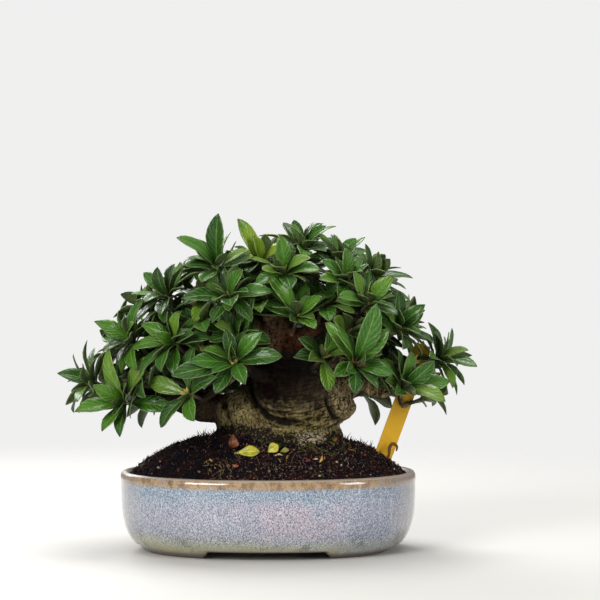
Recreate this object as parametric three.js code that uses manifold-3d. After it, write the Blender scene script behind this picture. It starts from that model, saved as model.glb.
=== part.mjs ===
import * as THREE from 'three';
import { mergeVertices } from 'three/addons/utils/BufferGeometryUtils.js';
import Module from 'manifold-3d';

// A dwarf gardenia bonsai in an oval glazed pot. Millimetres, +Z up. The origin lies on the surface that
// the pot stands on, under the middle of the pot, and the front of the tree looks along -Y.

const wasm = await Module();
wasm.setup();

const pot = {
  halfLength: 97.5, halfDepth: 72.5, height: 52, roundness: 2.15, segments: 32,
  footHeight: 5.5, footGapLength: 75, footGapSlant: 2.5, endGapLength: 46, floorTop: 11,
};
const drain = { spacing: 84, radius: 7, screenSide: 24, screenThickness: 1.2, slot: 5 };
const soil = { clearance: 0.4, edgeHeight: 50.4, rise: 25.5, steepness: 3.4, crumb: 1.1 };
const label = { width: 12, thickness: 0.9, length: 100, buried: 27, lean: 20, turn: 12, foot: [78, 3, 66] };
const leaf = { length: 31, width: 11, thickness: 1.3, stalk: 1.3, arch: 0.09, fold: 0.32, stem: 8,
  clearance: 0.32, free: 0.16 };
const young = { length: 17.5, width: 6.5, arch: -0.03 };
const twig = { start: 2.1, end: 1.4, sides: 3, straight: 5, sag: 1.3 };
const gap = 0.3;

const glaze = { color: 0xa3a4b4, roughness: 0.2, metalness: 0 };
const earth = { color: 0x2a1f1a, roughness: 0.95, metalness: 0 };
const bark = { color: 0x5f5138, roughness: 0.85, metalness: 0 };
const foliage = { color: 0x2f6e28, roughness: 0.4, metalness: 0 };
const yellowPlastic = { color: 0xcf9c1c, roughness: 0.5, metalness: 0 };
const blackPlastic = { color: 0x202020, roughness: 0.7, metalness: 0 };
const yellowLeaf = { color: 0xc9c026, roughness: 0.6, metalness: 0 };
const dryLeaf = { color: 0x8a4a22, roughness: 0.7, metalness: 0 };

const degree = Math.PI / 180;
const up = new THREE.Vector3(0, 0, 1);

// A repeatable draw between 0 and 1: the same seed always gives the same series.
function seeded(seed) {
  let state = seed >>> 0;
  return () => {
    state = (state + 0x6d2b79f5) >>> 0;
    let mixed = Math.imul(state ^ (state >>> 15), state | 1);
    mixed = (mixed + Math.imul(mixed ^ (mixed >>> 7), mixed | 61)) ^ mixed;
    return ((mixed ^ (mixed >>> 14)) >>> 0) / 4294967296;
  };
}

// Solids: a closed geometry becomes a solid that can be joined and cut, and the other way round.
function solid(geometry) {
  const bare = geometry.clone();
  bare.deleteAttribute('normal');
  bare.deleteAttribute('uv');
  const merged = mergeVertices(bare, 1e-4);
  const corners = merged.index.array;
  const kept = [];
  for (let i = 0; i < corners.length; i += 3) {
    const [a, b, c] = [corners[i], corners[i + 1], corners[i + 2]];
    if (a !== b && b !== c && c !== a) kept.push(a, b, c);
  }
  return new wasm.Manifold(new wasm.Mesh({
    numProp: 3,
    vertProperties: merged.attributes.position.array,
    triVerts: new Uint32Array(kept),
  }));
}

function geometryOf(body) {
  const { vertProperties, triVerts } = body.getMesh();
  const geometry = new THREE.BufferGeometry();
  geometry.setAttribute('position', new THREE.BufferAttribute(new Float32Array(vertProperties), 3));
  geometry.setIndex(new THREE.BufferAttribute(new Uint32Array(triVerts), 1));
  return geometry;
}

const bonsai = new THREE.Group();

function addPart(name, body, finish) {
  const geometry = geometryOf(body).toNonIndexed();
  geometry.computeVertexNormals();
  const mesh = new THREE.Mesh(geometry, new THREE.MeshStandardMaterial(finish));
  mesh.name = name;
  bonsai.add(mesh);
}

// Oval plan: a round of radius r becomes an oval as long as r, with an even wall all round.
function halfDepthAt(r) {
  const inset = pot.halfLength - pot.halfDepth;
  return r > 2 * inset ? r - inset : r / 2;
}

function ovalPoint(r, angle) {
  const power = 2 / pot.roundness;
  const c = Math.cos(angle);
  const s = Math.sin(angle);
  return [
    r * Math.sign(c) * Math.abs(c) ** power,
    halfDepthAt(r) * Math.sign(s) * Math.abs(s) ** power,
  ];
}

function ovalLathe(profile, segments, lift = () => 0) {
  const geometry = new THREE.LatheGeometry(profile.map(([r, z]) => new THREE.Vector2(r, z)), segments);
  geometry.rotateX(Math.PI / 2);
  const place = geometry.attributes.position;
  for (let i = 0; i < place.count; i += 1) {
    const r = Math.hypot(place.getX(i), place.getY(i));
    const turn = Math.atan2(place.getY(i), place.getX(i));
    const segment = (Math.round((turn / (2 * Math.PI)) * segments) + segments) % segments;
    const [x, y] = r < 1e-3 ? [0, 0] : ovalPoint(r, (segment / segments) * 2 * Math.PI);
    place.setXYZ(i, x, y, place.getZ(i) + lift(x, y, place.getZ(i)));
  }
  return geometry;
}

// A limb is a round tube that tapers along a smooth path from its first point to its last.
function limb(points, startRadius, endRadius, sides, steps) {
  const path = new THREE.CatmullRomCurve3(points, false, 'catmullrom', 0.5);
  const frames = path.computeFrenetFrames(steps, false);
  const geometry = new THREE.CylinderGeometry(1, 1, 1, sides, steps);
  const place = geometry.attributes.position;
  for (let i = 0; i < place.count; i += 1) {
    const step = Math.round((place.getY(i) + 0.5) * steps);
    const radius = startRadius + (endRadius - startRadius) * (step / steps);
    const at = path.getPointAt(step / steps);
    at.addScaledVector(frames.normals[step], place.getX(i) * radius);
    at.addScaledVector(frames.binormals[step], -place.getZ(i) * radius);
    place.setXYZ(i, at.x, at.y, at.z);
  }
  return solid(geometry);
}

function vectors(points) {
  return points.map((p) => new THREE.Vector3(...p));
}

// Pot: an oval bowl with a rolled rim band, four feet left between the gaps, and two drain holes.
function footGap(length, reach) {
  const half = length / 2;
  const outline = new THREE.Shape([
    new THREE.Vector2(-half - pot.footGapSlant, -1),
    new THREE.Vector2(half + pot.footGapSlant, -1),
    new THREE.Vector2(half, pot.footHeight),
    new THREE.Vector2(-half, pot.footHeight),
  ]);
  const geometry = new THREE.ExtrudeGeometry(outline, { depth: 2 * reach, bevelEnabled: false });
  geometry.translate(0, 0, -reach);
  geometry.rotateX(Math.PI / 2);
  return geometry;
}

function drainHole(side) {
  const hole = new THREE.CylinderGeometry(drain.radius, drain.radius, pot.floorTop * 2, 14);
  hole.rotateX(Math.PI / 2);
  hole.translate(side * drain.spacing / 2, 0, pot.floorTop / 2);
  return solid(hole);
}

const potWall = { innerTop: 91.2, innerLow: 88, bend: 22, floorEdge: 80 };
const potProfile = [
  [0, pot.footHeight], [71, pot.footHeight], [73, 0], [80, 0], [87.5, 4.6], [92.6, 11.5], [95.8, 22],
  [96.8, 34], [96.4, 44.6], [97.3, 45.8], [pot.halfLength, 49.6], [96.2, 51.6], [94, pot.height],
  [potWall.innerTop, 50.4], [potWall.innerLow, potWall.bend], [potWall.floorEdge, pot.floorTop],
  [0, pot.floorTop],
];

function makePot() {
  const longGap = footGap(pot.footGapLength, 2 * pot.halfLength);
  const endGap = footGap(pot.endGapLength, 2 * pot.halfLength).rotateZ(Math.PI / 2);
  return solid(ovalLathe(potProfile, pot.segments))
    .subtract(solid(longGap))
    .subtract(solid(endGap))
    .subtract(drainHole(-1))
    .subtract(drainHole(1));
}

// Drain screens: a square plate over each drain hole, with four square slots over the hole.
const screenBottom = pot.floorTop + gap;

function makeScreen(side) {
  const middle = screenBottom + drain.screenThickness / 2;
  const plate = new THREE.BoxGeometry(drain.screenSide, drain.screenSide, drain.screenThickness);
  plate.translate(side * drain.spacing / 2, 0, middle);
  let screen = solid(plate);
  for (const sx of [-1, 1]) {
    for (const sy of [-1, 1]) {
      const slot = new THREE.BoxGeometry(drain.slot, drain.slot, 4 * drain.screenThickness);
      slot.translate(side * drain.spacing / 2 + sx * drain.slot * 0.65, sy * drain.slot * 0.65, middle);
      screen = screen.subtract(solid(slot));
    }
  }
  return screen;
}

function screenPocket(side) {
  const grow = 2 * gap;
  const pocket = new THREE.BoxGeometry(drain.screenSide + grow, drain.screenSide + grow, 4);
  pocket.translate(side * drain.spacing / 2, 0, screenBottom + drain.screenThickness + gap - 2);
  return solid(pocket);
}

// Trunk: sections from the buried root to the top, each with its height, middle, half width and half depth.
const trunkSections = [
  [34, 8, 0, 26, 19], [54, 8, 0, 35, 26], [70, 8, 0, 41, 30], [80, 8, 0, 41, 30], [90, 10, -1, 42, 30],
  [99, 13, -1, 40, 29], [108, 18, -1, 35, 26], [116, 20, -1, 30, 22], [124, 15, 0, 24, 18],
  [134, 9, 0, 16, 14], [146, 7, 0, 11.5, 11], [158, 5, 0, 9.5, 9], [172, 2, -1, 7, 7], [184, -2, -2, 4, 4],
];

// Swellings and hollows: angle round the trunk from +X, height, how far out, spread round it and in height.
const trunkKnobs = [
  [-12, 93, 6, 20, 8], [-6, 82, -3.5, 22, 3.5], [-132, 91, 7, 22, 9], [-104, 96, 4, 12, 6],
  [-60, 112, 3, 26, 10], [160, 88, 4, 30, 9], [95, 94, 5, 24, 10], [45, 100, 4, 22, 9], [-110, 76, 4, 40, 5],
  [20, 116, 5, 24, 8],
];
// The fold: a U-shaped crease on the front, under the rounded tongue of wood in its middle.
const trunkFold = { middle: 10, low: 85, rise: 0.034, depth: 5, spread: 2.6, tongue: 3.2 };

function trunkRelief(angle, x, z) {
  let out = 0;
  for (const [at, height, far, round, tall] of trunkKnobs) {
    const apart = (((angle / degree - at) % 360) + 540) % 360 - 180;
    out += far * Math.exp(-((apart / round) ** 2) - ((z - height) / tall) ** 2);
  }
  const front = Math.max(0, -Math.sin(angle)) ** 0.5;
  const above = z - (trunkFold.low + trunkFold.rise * (x - trunkFold.middle) ** 2);
  const fold = -trunkFold.depth * Math.exp(-((above / trunkFold.spread) ** 2));
  const tongue = trunkFold.tongue * Math.exp(-(((above - 11) / 8) ** 2));
  return out + front * (fold + tongue);
}

function makeTrunk(grow) {
  const sections = trunkSections.length;
  const around = 32;
  const outline = [new THREE.Vector2(0, 0)];
  trunkSections.forEach((section, k) => outline.push(new THREE.Vector2(1, k)));
  outline.push(new THREE.Vector2(0, sections - 1));
  const geometry = new THREE.LatheGeometry(outline, around);
  geometry.rotateX(Math.PI / 2);
  const place = geometry.attributes.position;
  for (let i = 0; i < place.count; i += 1) {
    const [z, cx, cy, rx, ry] = trunkSections[Math.round(place.getZ(i))];
    const r = Math.round(Math.hypot(place.getX(i), place.getY(i)));
    const turn = Math.atan2(place.getY(i), place.getX(i));
    const segment = (Math.round((turn / (2 * Math.PI)) * around) + around) % around;
    const angle = (segment / around) * 2 * Math.PI;
    const x = cx + rx * Math.cos(angle);
    const relief = trunkRelief(angle, x, z) + grow;
    const end = z === trunkSections[0][0] ? -grow : 0;
    place.setXYZ(
      i,
      cx + r * (rx + relief) * Math.cos(angle),
      cy + r * (ry + relief) * Math.sin(angle),
      z + end,
    );
  }
  return solid(geometry);
}

// Limbs of the tree, each from inside the trunk outwards, with its start and end radius.
const limbs = [
  {
    points: [[-14, -6, 90], [-38, -10, 91], [-54, -12, 96], [-70, -15, 99], [-82, -18, 98]],
    start: 9, end: 3.6,
  },
  { points: [[-66, -14, 99], [-82, -10, 104], [-100, -9, 106]], start: 3.4, end: 2 },
  { points: [[-16, 10, 92], [-42, 22, 97], [-62, 32, 104], [-78, 36, 110]], start: 7, end: 2.8 },
  {
    points: [[6, 0, 126], [-16, -6, 136], [-38, -12, 138], [-58, -16, 134], [-74, -14, 132]],
    start: 7, end: 2.6,
  },
  { points: [[-30, -8, 138], [-44, -8, 148], [-54, -10, 156]], start: 4, end: 2.2 },
  { points: [[6, 0, 138], [-12, -6, 152], [-22, -14, 164], [-27, -20, 172]], start: 6, end: 2.4 },
  { points: [[2, -4, 112], [-8, -24, 118], [-15, -38, 121]], start: 6, end: 2.6 },
  { points: [[8, 0, 140], [10, -16, 150], [10, -26, 164]], start: 5, end: 2.4 },
  { points: [[10, 0, 128], [28, -8, 144], [42, -18, 156], [48, -24, 162]], start: 7, end: 2.6 },
  { points: [[24, -6, 116], [40, -22, 118], [46, -38, 119]], start: 7, end: 3 },
  { points: [[36, -2, 114], [60, -10, 124], [72, -18, 134]], start: 7, end: 2.6 },
  { points: [[36, -4, 114], [58, -12, 111], [70, -20, 105], [78, -26, 104]], start: 7, end: 2.8 },
  { points: [[44, 0, 112], [70, -4, 114], [88, -4, 120], [98, -4, 122]], start: 5.5, end: 2.2 },
  { points: [[26, 8, 114], [48, 24, 122], [66, 36, 130]], start: 7.5, end: 2.6 },
  { points: [[8, 6, 120], [4, 30, 128], [2, 50, 136]], start: 8, end: 2.8 },
  { points: [[-2, 6, 124], [-24, 26, 134], [-42, 42, 142]], start: 7, end: 2.6 },
  { points: [[8, 4, 146], [18, 18, 164], [24, 28, 176]], start: 6, end: 2.4 },
  { points: [[2, 2, 158], [-12, 16, 172], [-22, 26, 180]], start: 5, end: 2.2 },
  { points: [[2, -2, 166], [14, -6, 178], [26, -8, 181], [37, -8, 177]], start: 5, end: 2 },
];

// Shoots on the front, each with its hub, and the tips of its leaves as X and Z where they show.
const frontShoots = [
  { hub: [-20, -62, 125], tips: [[-48, 127], [10, 130], [-3, 145], [-57, 113], [-32, 107], [-13, 113]] },
  { hub: [-18, -46, 140], tips: [[-33, 162], [-12, 168], [-36, 139], [-36, 147]] },
  { hub: [-23, -50, 165], tips: [[-54, 166], [-15, 184], [4, 170]] },
  { hub: [-32, -36, 184], tips: [[-31, 220], [-46, 205], [-52, 187], [-48, 211], [-66, 196], [-9, 193]] },
  { hub: [-64, -20, 166], tips: [[-71, 186], [-60, 188], [-81, 180], [-84, 171], [-66, 150]] },
  { hub: [-87, -18, 137], tips: [[-112, 151], [-81, 165], [-106, 136], [-91, 160]] },
  { hub: [-59, -42, 137], tips: [[-80, 150], [-56, 158], [-46, 144]] },
  {
    hub: [-91, -24, 98],
    tips: [[-102, 134], [-73, 130], [-113, 110], [-124, 93], [-107, 80], [-98, 76], [-59, 95]],
  },
  { hub: [-113, -12, 110], tips: [[-137, 117], [-119, 123], [-123, 99]] },
  { hub: [55, -56, 124], tips: [[69, 163], [37, 151], [77, 147], [79, 118], [42, 118], [55, 107]] },
  { hub: [83, -34, 145], tips: [[84, 171], [101, 162], [97, 148], [67, 148], [71, 167]] },
  { hub: [86, -34, 107], tips: [[107, 126], [92, 132], [114, 100], [118, 106], [75, 114]] },
  { hub: [111, -4, 124], tips: [[105, 150], [131, 132], [137, 121], [122, 116], [117, 111]] },
  { hub: [19, -44, 153], tips: [[1, 179], [-3, 162], [31, 147], [35, 167]] },
  { hub: [11, -40, 181], tips: [[8, 207], [34, 184], [-8, 174], [23, 200]] },
  { hub: [-4, -26, 186], tips: [[-9, 206], [8, 209], [-28, 191], [-19, 217]] },
  { hub: [22, -14, 196], tips: [[15, 213], [38, 213], [27, 212]] },
  { hub: [51, -34, 174], tips: [[50, 198], [38, 192], [33, 178], [66, 171]] },
  { hub: [63, -44, 161], tips: [[55, 183], [80, 180], [44, 165], [83, 156]] },
  { hub: [35, -46, 128], tips: [[17, 129], [21, 121], [39, 107], [20, 141]] },
  { hub: [46, -10, 189], tips: [[44, 206], [54, 204], [62, 196], [34, 205]] },
  { hub: [66, -12, 178], tips: [[72, 196], [80, 187], [82, 177], [56, 193]] },
];

// Further shoots cover the dome evenly round the sides and back, on a spiral, clear of the ones above.
// The front of the trunk stays open.
const dome = {
  middle: [0, 4, 96], halfLength: 106, halfDepth: 63, height: 92, tries: 76, apart: 31, most: 23,
  openMiddle: 8, openHalf: 45, openTop: 128,
};

function hidesTrunk(hub) {
  return hub.y < 0 && hub.z < dome.openTop && Math.abs(hub.x - dome.openMiddle) < dome.openHalf;
}

function domeShoots() {
  const found = [];
  const taken = frontShoots.map((shoot) => new THREE.Vector3(...shoot.hub));
  for (let i = 0; i < dome.tries && found.length < dome.most; i += 1) {
    const share = (i + 0.5) / dome.tries;
    const around = i * 137.508 * degree;
    const flat = Math.sqrt(1 - share * share);
    const hub = new THREE.Vector3(
      dome.middle[0] + dome.halfLength * flat * Math.cos(around),
      dome.middle[1] + dome.halfDepth * flat * Math.sin(around),
      dome.middle[2] + dome.height * share,
    );
    if (!hidesTrunk(hub) && taken.every((other) => other.distanceTo(hub) > dome.apart)) {
      taken.push(hub);
      found.push({ hub: hub.toArray().map(Math.round), tips: [] });
    }
  }
  return found;
}

const shoots = [...frontShoots, ...domeShoots()];
const heart = new THREE.Vector3(0, 0, 104);
const viewer = new THREE.Vector3(0, -1, 0);

for (const shoot of shoots) {
  shoot.at = new THREE.Vector3(...shoot.hub);
  shoot.axis = shoot.at.clone().sub(heart).normalize();
  shoot.axis.addScaledVector(up, 0.35).normalize();
  shoot.foot = shoot.at.clone().addScaledVector(shoot.axis, -leaf.stem);
}

// Twigs join each shoot to the nearest place on a limb, and end just short of its green stem.
const forks = [];
for (const { points, start, end } of limbs) {
  const path = new THREE.CatmullRomCurve3(vectors(points), false, 'catmullrom', 0.5);
  for (let k = 5; k <= 12; k += 1) {
    forks.push({ at: path.getPoint(k / 12), radius: start + (end - start) * (k / 12) });
  }
}

function makeTwig(shoot) {
  let nearest = forks[0];
  for (const fork of forks) {
    if (fork.at.distanceTo(shoot.foot) < nearest.at.distanceTo(shoot.foot)) nearest = fork;
  }
  const bend = shoot.foot.clone().addScaledVector(shoot.axis, -twig.straight);
  const middle = nearest.at.clone().lerp(bend, 0.5).addScaledVector(up, -twig.sag);
  const points = [nearest.at, middle, bend, shoot.foot];
  return limb(points, Math.min(nearest.radius, twig.start), twig.end, twig.sides, 2);
}

function makeWood() {
  const pieces = [makeTrunk(0)];
  for (const { points, start, end } of limbs) {
    pieces.push(limb(vectors(points), start, end, 5, points.length));
  }
  for (const shoot of shoots) pieces.push(makeTwig(shoot));
  return wasm.Manifold.union(pieces);
}

// Soil: a mound heaped in the pot, highest at the trunk.
const grain = seeded(7);
const bumps = Array.from({ length: 60 }, () => ({
  x: (2 * grain() - 1) * 85,
  y: (2 * grain() - 1) * 62,
  high: (grain() - 0.45) * 2 * soil.crumb,
  wide: 5 + 7 * grain(),
}));

function soilBump(x, y) {
  let high = 0;
  for (const bump of bumps) {
    high += bump.high * Math.exp(-(((x - bump.x) / bump.wide) ** 2) - ((y - bump.y) / bump.wide) ** 2);
  }
  return high;
}

function makeSoil(wood, plate) {
  const edge = potWall.innerTop - soil.clearance;
  const low = potWall.innerLow - soil.clearance;
  const bottom = pot.floorTop + gap;
  const profile = [[0, bottom], [potWall.floorEdge - 1, bottom], [low, potWall.bend], [edge, 49.4]];
  for (const share of [0.975, 0.9, 0.8, 0.68, 0.54, 0.36, 0]) {
    profile.push([edge * share, soil.edgeHeight + soil.rise * (1 - share ** soil.steepness)]);
  }
  const lift = (x, y, z) => (z > soil.edgeHeight + 1 ? soilBump(x, y) : 0);
  return solid(ovalLathe(profile, pot.segments, lift))
    .subtract(wood)
    .subtract(plate)
    .subtract(screenPocket(-1))
    .subtract(screenPocket(1));
}

// Label: a bare strip of plastic pushed into the soil at the right, leaning outwards.
function makeLabel(grow) {
  const wide = label.width + 2 * grow;
  const shape = new THREE.Shape([
    new THREE.Vector2(-wide / 2, label.length - 1.5), new THREE.Vector2(-wide / 2, 14 - grow),
    new THREE.Vector2(-1.5, -grow), new THREE.Vector2(1.5, -grow),
    new THREE.Vector2(wide / 2, 14 - grow), new THREE.Vector2(wide / 2, label.length - 1.5),
    new THREE.Vector2(wide / 2 - 1.5, label.length), new THREE.Vector2(-wide / 2 + 1.5, label.length),
  ].reverse());
  const thick = label.thickness + 2 * grow;
  const strip = new THREE.ExtrudeGeometry(shape, { depth: thick, bevelEnabled: false });
  strip.translate(0, -label.buried, -thick / 2);
  strip.rotateX(Math.PI / 2);
  strip.rotateZ(label.turn * degree);
  strip.rotateY(label.lean * degree);
  strip.translate(...label.foot);
  return solid(strip);
}

// A blade: a cone with four sides, turned into a leaf that widens from its stalk and narrows to its tip.
// Its two edges are raised above its midrib, where it is thickest, and its middle bulges towards its face.
const bladeRows = { 3: [0, 0.4, 0.74, 1], 2: [0, 0.58, 1] };

function outlineAt(t) {
  return (t ** 1.4 * (1 - t) ** 0.8) / 0.2365;
}

function blade({ base, tip, face, width, arch, fold, rows }, grow = 0, from = 0) {
  const chord = tip.clone().sub(base);
  const length = chord.length();
  const along = chord.clone().divideScalar(length);
  const normal = face.clone().addScaledVector(along, -face.dot(along)).normalize();
  const side = along.clone().cross(normal);
  const geometry = new THREE.ConeGeometry(1, 1, 4, rows);
  const place = geometry.attributes.position;
  for (let i = 0; i < place.count; i += 1) {
    const row = Math.round((place.getY(i) + 0.5) * rows);
    const t = Math.max(bladeRows[rows][row], from);
    const isTip = row === rows;
    const half = isTip ? 0 : Math.max((width / 2) * outlineAt(t), leaf.stalk / 2) + grow;
    const thick = isTip ? 0 : (leaf.thickness * (t > 0 ? 1 : 0.8)) / 2 + grow;
    const edge = isTip ? 0 : Math.sign(Math.round(place.getX(i) * 9));
    const top = isTip ? 0 : Math.sign(Math.round(place.getZ(i) * 9));
    const lift = arch * length * 4 * t * (1 - t) + fold * half * Math.abs(edge);
    const at = base.clone().addScaledVector(along, t * length + (isTip ? grow : 0));
    at.addScaledVector(normal, lift + top * thick).addScaledVector(side, half * edge);
    place.setXYZ(i, at.x, at.y, at.z);
  }
  return solid(geometry);
}

// A leaf is rooted just inside the knob at the top of the stem, on the side that it grows to.
function rootOf(shoot, tip, count) {
  const out = tip.clone().sub(shoot.at).normalize();
  return shoot.at.clone().addScaledVector(out, 1.1).addScaledVector(shoot.axis, (count % 3) * 0.7 - 0.7);
}

// Leaves of a shoot: those whose tips show in front, then others that fill the ring round its axis.
function leavesOf(shoot, index) {
  const draw = seeded(100 + index);
  const leaves = [];
  const base = shoot.at.clone();
  for (const [x, z] of shoot.tips) {
    const apparent = Math.hypot(x - base.x, z - base.z);
    const length = Math.max(25, 1.07 * apparent);
    const tip = new THREE.Vector3(x, base.y - Math.sqrt(length * length - apparent * apparent), z);
    const face = shoot.axis.clone().addScaledVector(viewer, 0.8).addScaledVector(up, 0.25);
    leaves.push({
      base: rootOf(shoot, tip, leaves.length), tip, face, rows: 3,
      width: leaf.width * (0.45 + 0.55 * (length / leaf.length)),
      arch: leaf.arch * (0.5 + draw()), fold: leaf.fold * (0.6 + 0.8 * draw()),
    });
  }
  const across = new THREE.Vector3().crossVectors(up, shoot.axis).normalize();
  const rise = new THREE.Vector3().crossVectors(shoot.axis, across);
  const turn = draw() * 360;
  const ring = shoot.tips.length ? 8 : 5;
  const wanted = shoot.tips.length ? Math.max(0, 6 - shoot.tips.length) : 5;
  const options = [];
  for (let k = 0; k < ring; k += 1) {
    const angle = (turn + (k * 360) / ring + (draw() - 0.5) * 24) * degree;
    const raise = (4 + 22 * draw()) * degree;
    const length = leaf.length * (0.84 + 0.24 * draw());
    const out = across.clone().multiplyScalar(Math.cos(angle)).addScaledVector(rise, Math.sin(angle));
    out.multiplyScalar(Math.cos(raise)).addScaledVector(shoot.axis, Math.sin(raise));
    let nearest = Math.PI;
    for (const other of leaves) {
      nearest = Math.min(nearest, out.angleTo(other.tip.clone().sub(base)));
    }
    const tip = base.clone().addScaledVector(out, length);
    options.push({
      nearest, base: rootOf(shoot, tip, k), tip, face: shoot.axis, rows: 3,
      width: leaf.width * (0.9 + 0.2 * draw()), arch: leaf.arch * (0.6 + draw()), fold: leaf.fold,
    });
  }
  options.sort((a, b) => b.nearest - a.nearest);
  leaves.push(...options.slice(0, wanted));
  // A young leaf stands up in the middle of the ring.
  const angle = turn * degree;
  const out = across.clone().multiplyScalar(Math.cos(angle)).addScaledVector(rise, Math.sin(angle));
  out.multiplyScalar(0.62).addScaledVector(shoot.axis, 1).normalize();
  const tip = base.clone().addScaledVector(out, young.length * (0.85 + 0.3 * draw()));
  leaves.push({
    base: rootOf(shoot, tip, 1), tip, face: shoot.axis, rows: 2,
    width: young.width, arch: young.arch, fold: leaf.fold,
  });
  return leaves;
}

// Ways to bend a leaf clear of its neighbours: a turn to the side, a raise, and a share of its length.
const bends = [
  [0, 0, 1], [9, 0, 1], [-9, 0, 1], [0, 11, 1], [0, -11, 1], [18, 6, 1], [-18, 6, 1], [0, 22, 1],
  [14, 16, 0.94], [-14, 16, 0.94], [22, -8, 0.94], [-22, -8, 0.94], [0, 34, 0.9], [30, 14, 0.85],
  [-30, 14, 0.85], [0, -24, 0.85], [38, 26, 0.8], [-38, 26, 0.8], [0, 48, 0.8],
];

function bent(part, [turn, raise, share]) {
  const chord = part.tip.clone().sub(part.base);
  const along = chord.clone().normalize();
  const normal = part.face.clone().addScaledVector(along, -part.face.dot(along)).normalize();
  const side = along.clone().cross(normal);
  chord.applyAxisAngle(side, raise * degree).applyAxisAngle(normal, turn * degree).multiplyScalar(share);
  return { ...part, tip: part.base.clone().add(chord), width: part.width * Math.sqrt(share) };
}

function boxOf(body) {
  const { min, max } = body.boundingBox();
  return new THREE.Box3(new THREE.Vector3(...min), new THREE.Vector3(...max));
}

const obstacles = [];

function addObstacle(owner, body) {
  obstacles.push({ owner, body, box: boxOf(body) });
}

function isClear(owner, body) {
  const box = boxOf(body);
  return obstacles.every((other) => other.owner === owner || !box.intersectsBox(other.box)
    || body.intersect(other.body).isEmpty());
}

// Assembly.
const wood = makeWood();
const soilBody = makeSoil(makeTrunk(gap), makeLabel(gap));
const potBody = makePot();
const labelBody = makeLabel(0);
addPart('pot', potBody, glaze);
addPart('soil', soilBody, earth);
addPart('tree_wood', wood, bark);
addPart('plant_label', labelBody, yellowPlastic);
addPart('drain_screen_left', makeScreen(-1), blackPlastic);
addPart('drain_screen_right', makeScreen(1), blackPlastic);
for (const body of [wood, soilBody, potBody, labelBody]) addObstacle('ground', body);

shoots.forEach((shoot, index) => {
  const start = shoot.foot.clone().addScaledVector(shoot.axis, gap);
  const end = shoot.at.clone().addScaledVector(shoot.axis, 1.6);
  shoot.pieces = [limb([start, end], 1.3, 2.2, 6, 1)];
  shoot.outer = [];
  shoot.leaves = leavesOf(shoot, index);
  addObstacle(index, shoot.pieces[0]);
});

const mostLeaves = Math.max(...shoots.map((shoot) => shoot.leaves.length));
for (let turn = 0; turn < mostLeaves; turn += 1) {
  shoots.forEach((shoot, index) => {
    const part = shoot.leaves[turn];
    if (!part) return;
    for (const way of bends) {
      const tried = bent(part, way);
      const outer = blade(tried, leaf.clearance, leaf.free);
      const crossed = shoot.outer.some((other) => !other.intersect(outer).isEmpty());
      if (!crossed && isClear(index, blade(tried, leaf.clearance))) {
        const body = blade(tried);
        shoot.pieces.push(body);
        shoot.outer.push(blade(tried, 0, leaf.free));
        addObstacle(index, body);
        break;
      }
    }
  });
}

shoots.forEach((shoot, index) => {
  const name = `leafy_shoot_${String(index + 1).padStart(2, '0')}`;
  addPart(name, wasm.Manifold.union(shoot.pieces), foliage);
});

// Fallen leaves lie on the soil in front of the trunk, each let down until it all but touches.
function lieOnSoil(part) {
  for (let drop = 0; drop < 60; drop += 0.1) {
    const lower = new THREE.Vector3(0, 0, -drop);
    const moved = { ...part, base: part.base.clone().add(lower), tip: part.tip.clone().add(lower) };
    if (!isClear('fallen', blade(moved, gap))) {
      const rest = new THREE.Vector3(0, 0, 0.1);
      return blade({ ...moved, base: moved.base.add(rest), tip: moved.tip.add(rest) });
    }
  }
  throw new Error('the leaf found no soil');
}

const fallen = [
  { name: 'fallen_leaf_left', ends: [[-20, -41, 92], [-5, -44, 91]], width: 8, arch: 0.12, finish: yellowLeaf },
  { name: 'fallen_leaf_right', ends: [[-1, -40, 92], [9, -45, 92]], width: 6.5, arch: 0.16, finish: yellowLeaf },
  { name: 'dry_leaf', ends: [[-26, -34, 93], [-22, -44, 98]], width: 6, arch: 0.3, finish: dryLeaf },
];
for (const { name, ends, width, arch, finish } of fallen) {
  const [base, tip] = vectors(ends);
  const body = lieOnSoil({ base, tip, face: up, width, arch, fold: 0.2, rows: 3 });
  addPart(name, body, finish);
  addObstacle('fallen', body);
}

export default bonsai;
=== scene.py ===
from math import copysign, cos, exp, floor, hypot, pi, radians, sin, sqrt

import bmesh
import bpy
from mathutils import Matrix, Quaternion, Vector, noise
from mathutils.bvhtree import BVHTree


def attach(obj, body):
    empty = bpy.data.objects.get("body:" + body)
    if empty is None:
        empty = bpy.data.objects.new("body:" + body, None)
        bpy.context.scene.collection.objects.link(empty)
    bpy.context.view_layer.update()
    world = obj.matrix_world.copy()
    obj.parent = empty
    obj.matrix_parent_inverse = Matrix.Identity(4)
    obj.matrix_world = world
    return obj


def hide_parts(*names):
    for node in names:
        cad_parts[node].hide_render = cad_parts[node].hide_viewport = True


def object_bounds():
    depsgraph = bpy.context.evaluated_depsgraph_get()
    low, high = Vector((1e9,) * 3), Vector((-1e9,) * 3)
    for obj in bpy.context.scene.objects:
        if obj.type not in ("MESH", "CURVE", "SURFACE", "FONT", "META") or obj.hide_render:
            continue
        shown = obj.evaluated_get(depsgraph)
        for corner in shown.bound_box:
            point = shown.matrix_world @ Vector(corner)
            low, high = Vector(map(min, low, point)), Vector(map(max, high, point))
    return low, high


# A dwarf gardenia bonsai in an oval glazed pot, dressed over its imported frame. Lengths are in millimetres
# until a finished mesh is scaled to metres. The front of the tree looks along -Y.

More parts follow.
